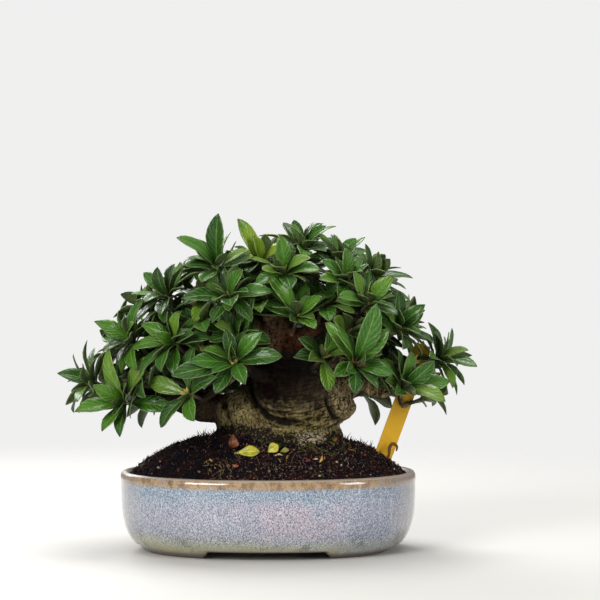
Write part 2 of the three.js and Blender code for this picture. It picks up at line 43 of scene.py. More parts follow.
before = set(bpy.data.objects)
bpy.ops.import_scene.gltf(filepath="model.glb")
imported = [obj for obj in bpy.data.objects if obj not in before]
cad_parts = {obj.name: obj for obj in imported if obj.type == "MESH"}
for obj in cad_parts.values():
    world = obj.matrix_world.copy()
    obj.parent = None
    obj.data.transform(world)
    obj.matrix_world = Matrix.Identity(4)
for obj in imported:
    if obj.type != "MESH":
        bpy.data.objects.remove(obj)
cadLow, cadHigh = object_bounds()
mm = 0.001
up = Vector((0, 0, 1))
viewer = Vector((0, -1, 0))
print('frame loaded')


# Camera, lights and studio

studio = {
    'eye': (21, -1300, 178.6), 'pitch': -0.63, 'lens': 117.98, 'sensor': 36, 'clipStart': 0.01,
    'floorRadius': 1600, 'floorSides': 96, 'floorFade': (330, 900), 'floor': (0.568, 0.563, 0.540),
    'floorGrain': (0.53, 0.53, 0.51), 'grainSize': 60, 'world': (0.871, 0.869, 0.866), 'ambient': 0.36,
    'lamps': [  # place in metres, size, power in watts, tint
        ((-1.0, -1.35, 0.80), (0.8, 0.8), 30, (1.0, 0.98, 0.95)),
        ((1.35, -1.05, 0.55), (0.5, 0.9), 16, (1.0, 0.99, 0.97)),
        ((0.15, 0.30, 1.6), (1.1, 0.7), 22, (1.0, 1.0, 1.0)),
        ((-0.75, 1.25, 0.95), (1.1, 0.8), 20, (1.0, 1.0, 1.0)),
    ],
    'aim': Vector((0, 0, 110)),
}


def makeCamera():
    view = bpy.data.cameras.new('camera')
    view.lens = studio['lens']
    view.sensor_width = studio['sensor']
    view.clip_start = studio['clipStart']
    camera = bpy.data.objects.new('camera', view)
    camera.location = Vector(studio['eye']) * mm
    camera.rotation_euler = (radians(90 + studio['pitch']), 0, 0)
    bpy.context.scene.collection.objects.link(camera)
    bpy.context.scene.camera = camera


def makeLights():
    world = bpy.data.worlds.new('paleRoom')
    world.use_nodes = True
    tree = world.node_tree
    backdrop = tree.nodes['Background']
    room = tree.nodes.new('ShaderNodeBackground')
    for sky, strength in ((backdrop, 1), (room, studio['ambient'])):  # as seen, and as light
        sky.inputs['Color'].default_value = (*studio['world'], 1)
        sky.inputs['Strength'].default_value = strength
    seen = tree.nodes.new('ShaderNodeLightPath')
    both = tree.nodes.new('ShaderNodeMixShader')
    tree.links.new(seen.outputs['Is Camera Ray'], both.inputs[0])
    tree.links.new(room.outputs[0], both.inputs[1])
    tree.links.new(backdrop.outputs[0], both.inputs[2])
    tree.links.new(both.outputs[0], tree.nodes['World Output'].inputs['Surface'])
    bpy.context.scene.world = world
    bpy.context.scene.view_settings.view_transform = 'Standard'
    for index, (place, size, power, tint) in enumerate(studio['lamps']):
        lamp = bpy.data.lights.new(f'softbox{index + 1}', 'AREA')
        lamp.shape = 'RECTANGLE'
        lamp.size, lamp.size_y = size
        lamp.energy = power
        lamp.color = tint
        body = bpy.data.objects.new(lamp.name, lamp)
        body.location = place
        body.rotation_euler = (studio['aim'] * mm - Vector(place)).to_track_quat('-Z', 'Y').to_euler()
        body.visible_camera = False
        bpy.context.scene.collection.objects.link(body)


def makeFloor():
    bm = bmesh.new()
    radius = studio['floorRadius'] * mm
    bmesh.ops.create_circle(bm, cap_ends=True, cap_tris=False, segments=studio['floorSides'], radius=radius)
    floor = makeBody('floor', bm, 1)
    paint = Paint('paleFloor', Roughness=0.6, Specular_IOR_Level=0.2)
    spot = paint.place()
    near, end = studio['floorFade']
    grain = paint.noise(spot, studio['grainSize'], detail=2)
    far = paint.distance(spot, (0, 0, 0))
    paint.feed(Base_Color=paint.mix(grain * 0.1, studio['floor'], studio['floorGrain']))
    paint.feed(Alpha=paint.rise(far, end, near))  # the floor thins out into the room's own tone
    floor.data.materials.append(paint.material)


makeCamera()


# Shader wiring: a Wire is one output socket, and arithmetic on it adds Math nodes

class Wire:
    def __init__(self, paint, socket):
        self.paint = paint
        self.socket = socket

    def math(self, operation, *values):
        return self.paint.node('ShaderNodeMath', {'operation': operation}, dict(enumerate(values)))

    def __add__(self, other):
        return self.math('ADD', self, other)

    def __radd__(self, other):
        return self.math('ADD', other, self)

    def __sub__(self, other):
        return self.math('SUBTRACT', self, other)

    def __rsub__(self, other):
        return self.math('SUBTRACT', other, self)

    def __mul__(self, other):
        return self.math('MULTIPLY', self, other)

    def __rmul__(self, other):
        return self.math('MULTIPLY', other, self)

    def __truediv__(self, other):
        return self.math('DIVIDE', self, other)

    def __pow__(self, other):
        return self.math('POWER', self, other)

    def __abs__(self):
        return self.math('ABSOLUTE', self)

    def pingPong(self, scale):
        return self.math('PINGPONG', self, scale)


class Paint:
    def __init__(self, name, **constants):
        self.material = bpy.data.materials.new(name)
        self.material.use_nodes = True
        self.tree = self.material.node_tree
        self.shader = self.tree.nodes['Principled BSDF']
        for title, value in constants.items():
            self.shader.inputs[title.replace('_', ' ')].default_value = value

    def node(self, kind, settings, sockets, out=0):
        made = self.tree.nodes.new(kind)
        for title, value in settings.items():
            if title == 'stops':
                self.setStops(made.color_ramp, value)
            else:
                setattr(made, title, value)
        for title, value in sockets.items():
            if isinstance(value, Wire):
                self.tree.links.new(value.socket, made.inputs[title])
            else:
                made.inputs[title].default_value = value
        return Wire(self, made.outputs[out])

    def setStops(self, ramp, stops):
        while len(ramp.elements) < len(stops):
            ramp.elements.new(0.5)
        for element, (place, colour) in zip(ramp.elements, stops):
            element.position = place
            element.color = (*colour, 1)

    def feed(self, **wires):
        for title, wire in wires.items():
            self.tree.links.new(wire.socket, self.shader.inputs[title.replace('_', ' ')])

    def place(self):  # places on the object, in millimetres
        coords = self.node('ShaderNodeTexCoord', {}, {}, out='Object')
        return self.node('ShaderNodeVectorMath', {'operation': 'SCALE'}, {0: coords, 'Scale': 1 / mm})

    def apart(self, vector, axis):
        return self.node('ShaderNodeSeparateXYZ', {}, {0: vector}, out='XYZ'.index(axis))

    def stretched(self, vector, x, y, z):
        return self.node('ShaderNodeVectorMath', {'operation': 'MULTIPLY'}, {0: vector, 1: (x, y, z)})

    def distance(self, vector, point):
        return self.node('ShaderNodeVectorMath', {'operation': 'DISTANCE'}, {0: vector, 1: point}, out='Value')

    def noise(self, vector, size, detail=3, rough=0.55):  # its features are about as long as size
        sockets = {'Vector': vector, 'Scale': 1 / size, 'Detail': detail, 'Roughness': rough}
        return self.node('ShaderNodeTexNoise', {}, sockets, out='Fac')

    def cells(self, vector, size):
        return self.node('ShaderNodeTexVoronoi', {}, {'Vector': vector, 'Scale': 1 / size}, out='Distance')

    def rise(self, value, low, high, start=0.0, end=1.0):  # start below low, end above high
        sockets = {0: value, 1: low, 2: high, 3: start, 4: end}
        return self.node('ShaderNodeMapRange', {'interpolation_type': 'SMOOTHSTEP'}, sockets)

    def patchy(self, vector, size, low, high, detail=3, rough=0.55):  # patches of noise, with soft edges
        return self.rise(self.noise(vector, size, detail, rough), low, high)

    def mix(self, amount, first, second, blend='MIX'):
        sockets = {0: amount}
        for index, value in ((6, first), (7, second)):
            sockets[index] = value if isinstance(value, Wire) else (*value, 1)
        return self.node('ShaderNodeMix', {'data_type': 'RGBA', 'blend_type': blend}, sockets, out=2)

    def cover(self, colour, *coats):  # each coat is how much of it shows, and its colour
        for amount, tone in coats:
            colour = self.mix(amount, colour, tone)
        return colour

    def ramp(self, value, stops):
        return self.node('ShaderNodeValToRGB', {'stops': stops}, {0: value})

    def attribute(self, name, out='Color'):
        return self.node('ShaderNodeAttribute', {'attribute_name': name}, {}, out=out)

    def channels(self, name):  # red, green and blue of a colour attribute
        split = self.node('ShaderNodeSeparateColor', {}, {0: self.attribute(name)})
        return [Wire(self, socket) for socket in split.socket.node.outputs]

    def bump(self, height, deep, strength):
        sockets = {'Height': height, 'Distance': deep * mm, 'Strength': strength}
        return self.node('ShaderNodeBump', {}, sockets, out='Normal')


# Shaping helpers

def seeded(seed):
    state = seed

    def draw():
        nonlocal state
        state = (state + 0x6d2b79f5) & 0xffffffff
        mixed = ((state ^ (state >> 15)) * (state | 1)) & 0xffffffff
        mixed = ((mixed + (((mixed ^ (mixed >> 7)) * (mixed | 61)) & 0xffffffff)) ^ mixed) & 0xffffffff
        return (mixed ^ (mixed >> 14)) / 4294967296
    return draw


def smoothPath(points, steps):  # a smooth line through the points
    ends = [2 * points[0] - points[1], *points, 2 * points[-1] - points[-2]]
    spans = len(points) - 1
    path = []
    for k in range(steps + 1):
        span = min(int(k / steps * spans), spans - 1)
        s = k / steps * spans - span
        a, b, c, d = ends[span:span + 4]
        square = (2 * a - 5 * b + 4 * c - d) * s ** 2
        cube = (3 * b - a - 3 * c + d) * s ** 3
        path.append(0.5 * (2 * b + (c - a) * s + square + cube))
    return path


def sheath(bm, placeAt, sides, rows):  # a closed skin whose two ends shrink to a point
    grid = bmesh.ops.create_grid(bm, x_segments=sides, y_segments=rows - 1, size=1)['verts']
    for corner in grid:
        angle = (corner.co.x + 1) * pi
        corner.co = placeAt(round((corner.co.y + 1) / 2 * (rows - 1)), angle)
    bmesh.ops.remove_doubles(bm, verts=grid, dist=1e-4)


def tube(bm, path, radii, sides):
    along = [(b - a).normalized() for a, b in zip(path[:-1], path[1:])]
    along.append(along[-1])
    across = along[0].orthogonal().normalized()
    frames = []
    for direction in along:
        across = (across - across.dot(direction) * direction).normalized()
        frames.append((across, direction.cross(across)))

    def placeAt(row, angle):
        k = min(max(row - 1, 0), len(path) - 1)
        if row == 0 or row == len(path) + 1:
            return path[k]
        first, second = frames[k]
        return path[k] + (first * cos(angle) + second * sin(angle)) * radii[k]
    sheath(bm, placeAt, sides, len(path) + 2)


def taper(start, end, count):
    return [start + (end - start) * k / (count - 1) for k in range(count)]


def clamp(value):
    return min(1, max(0, value))


def ranged(limits, share):  # from the low limit to the high one
    low, high = limits
    return low + (high - low) * share


def facesFrom(bm, before):  # the faces made since there were so many
    bm.faces.ensure_lookup_table()
    return bm.faces[before:]


def markFaces(faces, marks, colour, material=0):
    for face in faces:
        face.material_index = material
        for loop in face.loops:
            loop[marks] = colour


def addThread(bm, marks, path, radii, tone, sides=4, material=0):
    before = len(bm.faces)
    tube(bm, path, radii, sides)
    markFaces(facesFrom(bm, before), marks, (*tone, 1), material)


def makeBody(name, bm, scale=mm):
    bmesh.ops.scale(bm, vec=(scale, scale, scale), verts=bm.verts)
    mesh = bpy.data.meshes.new(name)
    bm.to_mesh(mesh)
    bm.free()
    body = bpy.data.objects.new(name, mesh)
    bpy.context.scene.collection.objects.link(body)
    return body


def setPiece(body, materials, replaced=()):
    for material in materials:
        body.data.materials.append(material)
    body.data.polygons.foreach_set('use_smooth', [True] * len(body.data.polygons))
    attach(body, 'root')
    if replaced:
        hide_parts(*replaced)
    return body


def makePiece(name, bm, materials, replaced=()):
    return setPiece(makeBody(name, bm), materials, replaced)


# Pot

pot = {
    'halfLength': 97.5, 'halfDepth': 72.5, 'height': 52, 'roundness': 2.15, 'footHeight': 5.5,
    'footGapLength': 75, 'endGapLength': 46, 'footGapSlant': 2.5, 'floorTop': 11, 'innerTop': 91.2,
    'innerLow': 88, 'bend': 22, 'floorEdge': 80, 'segments': 288, 'waver': 0.25, 'waverSize': 38,
    'waverLow': 20,
}
potOutline = [  # steps, then points as radius and height: foot, side, band, lip and inside
    (14, [(71, 5.5), (71.6, 3), (72.4, 0.6), (74, 0), (77, 0), (79.6, 0.1), (82.4, 1.2)]),
    (26, [(82.4, 1.2), (87.5, 4.6), (92.6, 11.5), (95.9, 22), (97.0, 34), (97.1, 43), (97.15, 45)]),
    (16, [(97.15, 45), (97.35, 46.6), (97.45, 48.2), (97.2, 49.9), (96.2, 51.4), (94.3, 52)]),
    (9, [(94.3, 52), (92.4, 51.5), (91.2, 50.2), (90.6, 46)]),
    (18, [(90.6, 46), (89.6, 36), (88, 22), (85, 14.5), (80, 11.3), (72, 11)]),
]
drain = {'spacing': 84, 'radius': 7, 'sides': 40}


def halfDepthAt(r):
    inset = pot['halfLength'] - pot['halfDepth']
    return r - inset if r > 2 * inset else r / 2


def ovalPoint(r, angle):
    power = 2 / pot['roundness']
    x = copysign(abs(cos(angle)) ** power, cos(angle))
    y = copysign(abs(sin(angle)) ** power, sin(angle))
    return r * x, halfDepthAt(r) * y


def potProfile():
    foot, *others = [smoothPath([Vector(point) for point in points], steps) for steps, points in potOutline]
    profile = [Vector((r, pot['footHeight'])) for r in (0, 20, 40, 60, 70.4)] + foot
    for path in others:
        profile += path[1:]
    return profile + [Vector((r, pot['floorTop'])) for r in (60, 40, 20, 0)]


def makePot():
    bm = bmesh.new()
    profile = potProfile()

    def placeAt(row, angle):
        r, z = profile[row]
        x, y = ovalPoint(r, angle)
        slant = pot['footGapSlant'] * (1 - z / pot['footHeight'])
        inFront = abs(x) < pot['footGapLength'] / 2 + slant
        inEnd = abs(y) < pot['endGapLength'] / 2 + slant
        if z < pot['footHeight'] and (inFront or inEnd):
            z = pot['footHeight']
        wobble = pot['waver'] * abs(noise.noise(Vector((x, y, z)) / pot['waverSize']))
        wobble = wobble * max(0, z - pot['waverLow']) / (pot['height'] - pot['waverLow'])
        return Vector((x * (1 - wobble / 100), y * (1 - wobble / 100), z - wobble))
    sheath(bm, placeAt, pot['segments'], len(profile))
    body = makePiece('potBody', bm, [glazePaint()], ['pot'])
    cutter = bmesh.new()
    for side in (-1, 1):
        place = Matrix.Translation((side * drain['spacing'] / 2 * mm, 0, pot['floorTop'] / 2 * mm))
        bmesh.ops.create_cone(
            cutter, cap_ends=True, segments=drain['sides'], radius1=drain['radius'] * mm,
            radius2=drain['radius'] * mm, depth=2 * pot['floorTop'] * mm, matrix=place)
    cutAway(body, makeBody('cutter', cutter, 1))


def cutAway(body, tool):  # takes the tool's shape out of the body's mesh
    cut = body.modifiers.new('cut', 'BOOLEAN')
    cut.operation = 'DIFFERENCE'
    cut.solver = 'EXACT'
    cut.object = tool
    applyModifiers(body)
    bpy.data.objects.remove(tool)


def applyModifiers(body):
    bpy.context.view_layer.update()
    shaped = body.evaluated_get(bpy.context.evaluated_depsgraph_get())
    mesh = bpy.data.meshes.new_from_object(shaped)
    body.modifiers.clear()
    body.data = mesh


def glazePaint():
    paint = Paint('potGlaze', Coat_Roughness=0.06, IOR=1.5)
    spot = paint.place()
    x = paint.apart(spot, 'X')
    height = paint.apart(spot, 'Z')
    drift = paint.noise(spot, 26, detail=2) - 0.5
    level = height + drift * 9
    body = paint.ramp(level / pot['height'], [
        (0.04, (0.20, 0.17, 0.105)), (0.12, (0.31, 0.305, 0.19)), (0.20, (0.31, 0.315, 0.235)),
        (0.30, (0.27, 0.28, 0.325)), (0.62, (0.265, 0.275, 0.335)), (0.76, (0.215, 0.27, 0.33)),
        (0.90, (0.17, 0.235, 0.30)),
    ])
    # A pink bloom in the middle, a bluer band right of it, beige ends, and pale runs down the right
    pink = paint.patchy(spot, 30, 0.42, 0.58, detail=2) * paint.rise(height, 10, 20)
    pink = pink * paint.rise(height, 42, 32) * paint.rise(x, -70, 10) * paint.rise(x, 62, 36)
    away = abs(x)
    ends = paint.rise(away + drift * 18, 76, 95)
    bluer = paint.rise(x + drift * 30, 34, 62) * (1 - ends)
    runs = paint.patchy(paint.stretched(spot, 1, 1, 0.16), 5, 0.52, 0.66)
    runs = runs * (0.22 + 0.4 * paint.rise(x, 15, 60))
    olive = paint.patchy(spot, 13, 0.54, 0.64) * paint.rise(height + drift * 10, 20, 12)
    speck = paint.noise(paint.stretched(spot, 1, 1, 0.8), 0.8, detail=2, rough=0.75)
    speckled = paint.rise(level, 4, 13, 0.25, 1.0) * (1 - ends * 0.6)
    pale = paint.rise(speck, 0.53, 0.64)
    deep = paint.rise(speck, 0.48, 0.39)
    dots = paint.rise(paint.cells(spot, 3.4), 0.13, 0.06)
    body = paint.cover(
        body, (pink * 0.8, (0.36, 0.295, 0.34)), (bluer * 0.55, (0.185, 0.205, 0.27)),
        (ends * 0.75, (0.27, 0.245, 0.235)), (runs, (0.37, 0.365, 0.41)), (olive * 0.6, (0.10, 0.115, 0.075)),
        (pale * speckled * 0.62, (0.60, 0.61, 0.64)), (deep * speckled * 0.85, (0.065, 0.090, 0.165)),
        (dots * 0.75, (0.09, 0.075, 0.065)))
    # The rim band: golden where the glaze ran thin, paler towards both ends
    patches = paint.noise(paint.stretched(spot, 1, 1, 0.7), 7, detail=5, rough=0.65)
    golden = paint.ramp(patches, [
        (0.34, (0.12, 0.080, 0.055)), (0.45, (0.215, 0.138, 0.072)), (0.53, (0.335, 0.220, 0.112)),
        (0.62, (0.29, 0.230, 0.175)), (0.70, (0.22, 0.20, 0.19)),
    ])
    fade = paint.rise(away + drift * 30 + paint.rise(x, -20, 20) * 12, 74, 96)
    band = paint.cover(
        golden, (fade * 0.8, (0.225, 0.180, 0.155)), (pale * 0.3, (0.46, 0.38, 0.30)),
        (deep * 0.35, (0.10, 0.065, 0.045)))
    onBand = paint.rise(height + (paint.noise(spot, 2.4, detail=4, rough=0.65) - 0.5) * 5, 44.9, 46.9)
    edge = paint.rise(height + (speck - 0.5) * 1.4, 50.4, 51.3)
    foot = paint.rise(height + (patches - 0.5) * 1.6, 1.5, 0.5)
    upward = paint.apart(paint.node('ShaderNodeNewGeometry', {}, {}, out='Normal'), 'Z')
    under = paint.rise(upward, -0.7, -0.9) * paint.rise(height, 12, 11)
    colour = paint.cover(
        body, (onBand, band), (edge * 0.75, (0.36, 0.31, 0.26)), (foot, (0.075, 0.048, 0.03)),
        (under * 0.9, (0.11, 0.075, 0.055)))
    matte = paint.rise(under + foot, 0.2, 0.8)
    paint.feed(Base_Color=colour, Roughness=0.17 + matte * 0.6 + edge * 0.25 + (speck - 0.5) * 0.1)
    paint.feed(Coat_Weight=0.5 - edge * 0.42)
    ripple = paint.noise(spot, 5, detail=2) * 0.6 + speck * 0.06
    paint.feed(Normal=paint.bump(ripple, 0.25, 0.5))
    return paint.material


makePot()
print('pot made')


# Soil

soil = {
    'clearance': 0.4, 'bottom': 11.3, 'edgeHeight': 50.4, 'rise': 25.5, 'steepness': 3.4, 'crumb': 1.1,
    'segments': 200, 'topRows': 76, 'lump': 1.5, 'grain': 1.1, 'bumps': 60, 'bumpReach': (85, 62),
}
heaps = [(-28, -14, 7, 9), (-19, -22, 5, 9), (-11, -27, 6, 9), (44, -17, 3, 7), (-1, -32, 2.5, 6)]


def drawBump(draw):  # middle X and Y, height and width
    x, y = (2 * draw() - 1) * soil['bumpReach'][0], (2 * draw() - 1) * soil['bumpReach'][1]
    return x, y, (draw() - 0.45) * 2 * soil['crumb'], 5 + 7 * draw()


bumpDraw = seeded(7)
bumps = [drawBump(bumpDraw) for _ in range(soil['bumps'])] + heaps  # the heaps lie against the trunk


def soilBump(x, y):
    return sum(high * exp(-((x - bx) / wide) ** 2 - ((y - by) / wide) ** 2) for bx, by, high, wide in bumps)


def shareAt(x, y):  # how far out a place is, from 0 in the middle to 1 at the edge of the soil
    edge = pot['innerTop'] - soil['clearance']
    power = pot['roundness']
    low, high = 0.001, 1.25 * edge
    for _ in range(13):
        r = (low + high) / 2
        if (abs(x) / r) ** power + (abs(y) / halfDepthAt(r)) ** power > 1:
            low = r
        else:
            high = r
    return r / edge


def soilHeight(x, y, rough=True):
    share = min(shareAt(x, y), 1)
    high = soil['edgeHeight'] + soil['rise'] * (1 - share ** soil['steepness'])
    high += soilBump(x, y) * min(1, (1 - share) * 14)
    if rough:
        spot = Vector((x, y, 0))
        lumps = noise.fractal(spot / 5.5, 1.0, 2.0, 3) * soil['lump']
        lumps += noise.cell(spot / 1.7) * soil['grain'] * 0.7
        high += (lumps - 0.6) * min(1, (1 - share) * 20 + 0.15)
    return high


def makeSoil():
    bm = bmesh.new()
    low = soil['bottom']
    edge = pot['innerTop'] - soil['clearance']
    profile = [(0, low), (40, low), (pot['floorEdge'] - 1, low), (pot['innerLow'] - 0.4, pot['bend'])]
    profile.append((edge - 0.3, 47))

    def placeAt(row, angle):
        if row < len(profile):
            r, z = profile[row]
            return Vector((*ovalPoint(r, angle), z))
        share = 1 - (row - len(profile)) / (soil['topRows'] - 1)
        x, y = ovalPoint(edge * share, angle)
        return Vector((x, y, soilHeight(x, y)))
    sheath(bm, placeAt, soil['segments'], len(profile) + soil['topRows'])
    makePiece('soilMound', bm, [soilPaint()], ['soil'])


def soilPaint():
    paint = Paint('darkSoil', Roughness=0.95, Specular_IOR_Level=0.06)
    spot = paint.place()
    drift = paint.noise(spot, 14, detail=2)
    red = paint.rise(drift, 0.48, 0.60)
    colour = paint.mix(red, (0.0025, 0.0025, 0.005), (0.010, 0.0035, 0.004))
    grains = paint.noise(spot, 1.5, detail=3, rough=0.7)
    specks = paint.ramp(grains, [
        (0.50, (0.0, 0.0, 0.0)), (0.56, (0.010, 0.006, 0.006)), (0.61, (0.060, 0.030, 0.020)),
        (0.67, (0.26, 0.160, 0.100)),
    ])
    # Painted shade: the soil on the left, under the left limb and leaves, loses most of its light specks and
    # shows darker
    left = paint.rise(paint.apart(spot, 'X') + (drift - 0.5) * 40, -8, -34)
    colour = paint.mix(1 - left * 0.85, colour, paint.mix(1.0, colour, specks, 'ADD'))
    paint.feed(Base_Color=colour)
    height = paint.noise(spot, 1.3, detail=4, rough=0.7) + paint.cells(spot, 1.5) * 0.6
    paint.feed(Normal=paint.bump(height, 0.9, 1.0))
    return paint.material


makeSoil()
print('soil made')


# Crumbs, roots, moss and bits of dead leaf on the soil

crumbTones = [  # how many of a hundred, and the colour
    (50, (0.003, 0.003, 0.005)), (15, (0.010, 0.006, 0.012)), (12, (0.070, 0.019, 0.015)),
    (10, (0.15, 0.055, 0.032)), (6, (0.30, 0.17, 0.10)), (4, (0.52, 0.39, 0.27)), (3, (0.05, 0.06, 0.02)),
]
hairTones = [
    (40, (0.004, 0.005, 0.008)), (18, (0.020, 0.012, 0.013)), (15, (0.075, 0.025, 0.017)),
    (9, (0.036, 0.044, 0.020)), (11, (0.19, 0.12, 0.075)), (7, (0.46, 0.34, 0.22)),
]
# Painted shade: crumbs and short hairs left of the trunk, where the left limb and leaves shade the soil, get a
# darker tone by the last entry
litter = {
    'crumbs': 2600, 'crumbSize': (0.35, 1.2), 'moss': 260, 'mossSize': (0.4, 1.1), 'fibres': 210,
    'fibreLength': (3, 8), 'fibreRadius': 0.14, 'hairs': 3400, 'hairLength': (0.8, 2.8), 'hairRadius': 0.2,
    'tallHairs': 110, 'tallLength': (2.6, 6.2), 'shadedLeftOf': -22, 'dark': 0.5,
}
scraps = [  # bits of stem, root and leaf on the soil: X and Z as seen from the front, half thickness, colour
    ([(12.1, 60.9), (12.9, 64.8), (15.9, 67.5)], 0.65, (0.36, 0.19, 0.04)),
    ([(15.3, 61.9), (16.6, 64.2), (18.6, 67)], 0.4, (0.14, 0.07, 0.03)),
    ([(4.8, 65.2), (7.5, 65.9), (10, 65.2)], 0.9, (0.70, 0.50, 0.30)),
    ([(33.6, 61.6), (34.8, 63), (35.2, 64.8)], 1.0, (0.66, 0.38, 0.12)),
    ([(29.8, 63), (31.2, 63.3), (32.6, 63.2)], 0.7, (0.60, 0.48, 0.34)),
    ([(43.2, 71), (43.8, 73), (45, 74.6)], 1.0, (0.42, 0.10, 0.035)),
    ([(-21.8, 59.9), (-20, 59.4), (-18, 59.6)], 1.2, (0.40, 0.09, 0.04)),
    ([(24.8, 62), (26.2, 62.6), (27.8, 62.3)], 1.2, (0.20, 0.035, 0.03)),
    ([(26.6, 70), (28, 69.3), (29.4, 69.5)], 0.8, (0.22, 0.05, 0.025)),
    ([(6.4, 75.8), (9.2, 74.9), (13.5, 73.8)], 0.5, (0.56, 0.45, 0.24)),
    ([(14.4, 72.6), (17.2, 73.6), (20.4, 74.4)], 0.45, (0.60, 0.50, 0.28)),
    ([(-37.4, 62.7), (-36.2, 62.5), (-35, 61.9)], 0.8, (0.40, 0.30, 0.06)),
    ([(52, 68), (54, 67.4), (57, 66.9)], 0.5, (0.30, 0.10, 0.04)),
]
curledStalk = [
    (78.6, -3, 58), (79.8, -3, 62.8), (80.2, -2.6, 67), (82.4, -2.4, 69.4), (85, -2.6, 67.6), (84.6, -3, 64.6),
]
paleFibres = {'x': (-38, -21), 'z': (51, 60.5), 'count': 55}
# Middle X and Y, half width and half depth
mossPatches = [(4, -33, 9, 4), (30, -34, 14, 5), (48, -20, 10, 8), (20, 40, 30, 9), (-40, 34, 16, 9)]


def pickTone(share, tones):
    total = 0
    for part, tone in tones:
        total += part
        if share * 100 < total:
            return tone
    return tones[-1][1]


def addCrumb(bm, marks, spot, size, tone, draw):
    sizes = (size * (0.7 + 0.7 * draw()), size * (0.7 + 0.5 * draw()), size * (0.5 + 0.5 * draw()), 1)
    turn = Matrix.Rotation(draw() * 2 * pi, 4, (draw() - 0.5, draw() - 0.5, 0.4))
    place = Matrix.Translation(spot) @ turn @ Matrix.Diagonal(sizes)
    before = len(bm.faces)
    bmesh.ops.create_icosphere(bm, subdivisions=1, radius=1, matrix=place)
    shade = 0.75 + 0.5 * draw()
    markFaces(facesFrom(bm, before), marks, (*(min(1, part * shade) for part in tone), 1))


def soilSpot(draw, spread=0.985):
    while True:
        x = (2 * draw() - 1) * pot['innerTop']
        y = (2 * draw() - 1) * halfDepthAt(pot['innerTop'])
        if shareAt(x, y) < spread:
            return x, y


def inBatches(count, addOne, batch=100):  # many small shapes in one mesh, quicker than one by one
    bm = bmesh.new()
    bm.loops.layers.float_color.new('grainTone')
    for start in range(0, count, batch):
        part = bmesh.new()
        marks = part.loops.layers.float_color.new('grainTone')
        for k in range(start, min(start + batch, count)):
            addOne(part, marks, k)
        mesh = bpy.data.meshes.new('batch')
        part.to_mesh(mesh)
        part.free()
        bm.from_mesh(mesh)
        bpy.data.meshes.remove(mesh)
    return bm


def facing(x, z):  # the place on the soil that is seen from the front at X and Z
    y = -66
    while y < 20 and soilHeight(x, y) < z:
        y += 0.4
    return Vector((x, y - 0.2, z))


def makeCrumbs():
    draw = seeded(31)

    def addOne(bm, marks, k):
        if k < litter['crumbs']:
            x, y = soilSpot(draw)
            size = ranged(litter['crumbSize'], draw() ** 3)
            # Painted shade: crumbs on the left of the soil get a darker tone
            dark = litter['dark'] if x < litter['shadedLeftOf'] else 1
            tone = [part * dark for part in pickTone(draw(), crumbTones)]
            lift = size * 0.25
        else:
            mx, my, wide, deep = mossPatches[k % len(mossPatches)]
            angle, reach = draw() * 2 * pi, sqrt(draw())
            x, y = mx + wide * reach * cos(angle), my + deep * reach * sin(angle)
            size = ranged(litter['mossSize'], draw())
            tone = (0.025 + 0.05 * draw(), 0.045 + 0.05 * draw(), 0.012)
            lift = 0.2
        addCrumb(bm, marks, Vector((x, y, soilHeight(x, y) + lift)), size, tone, draw)
    bm = inBatches(litter['crumbs'] + litter['moss'], addOne)
    makePiece('soilCrumbs', bm, [crumbPaint()])


def makeFibres():
    bm = bmesh.new()
    draw = seeded(57)
    for _ in range(litter['fibres']):
        x, y = soilSpot(draw, 0.95)
        length = ranged(litter['fibreLength'], draw())
        turn = draw() * 2 * pi
        lift = 0.15 + 0.6 * draw() ** 2
        path = []
        for k in range(5):
            t = k / 4
            px = x + length * t * cos(turn + t * (draw() - 0.5))
            py = y + length * t * sin(turn + t * (draw() - 0.5))
            if shareAt(px, py) > 0.97:
                break
            path.append(Vector((px, py, soilHeight(px, py) + lift * length * 0.5 * sin(t * pi * 0.8) + 0.1)))
        if len(path) > 2:
            tube(bm, path, taper(litter['fibreRadius'] * (0.8 + draw()), 0.07, len(path)), 4)
    makePiece('soilRoots', bm, [rootPaint()])


def makeHairs():  # short upright hairs of moss and root all over the soil, and taller ones along its ridge
    draw = seeded(77)

    def addOne(bm, marks, k):
        tall = k >= litter['hairs']
        x, y = soilSpot(draw, 0.97)
        if tall:
            x, y = (-47 + 19 * draw() if k % 5 < 3 else 49 + 20 * draw()), 26 * draw() - 14
        length = ranged(litter['tallLength' if tall else 'hairLength'], draw() ** 2)
        lean = Vector((draw() - 0.5, draw() - 0.5, 0)) * 1.3
        foot = Vector((x, y, soilHeight(x, y) - 0.3))
        path = [foot, foot + (up + 0.35 * lean) * length * 0.5, foot + (up + lean) * length]
        radius = litter['hairRadius'] * (0.7 + 0.7 * draw() + 0.4 * tall)
        tone = hairTones[1][1] if tall else pickTone(draw(), hairTones)
        shade = 0.6 + 0.8 * draw()
        # Painted shade: short hairs on the left of the soil get a darker tone
        if x < litter['shadedLeftOf'] and not tall:
            shade *= litter['dark']
        addThread(bm, marks, path, [radius, radius * 0.9, 0.04], [part * shade for part in tone], 3)
    bm = inBatches(litter['hairs'] + litter['tallHairs'], addOne)
    makePiece('soilHairs', bm, [crumbPaint()])


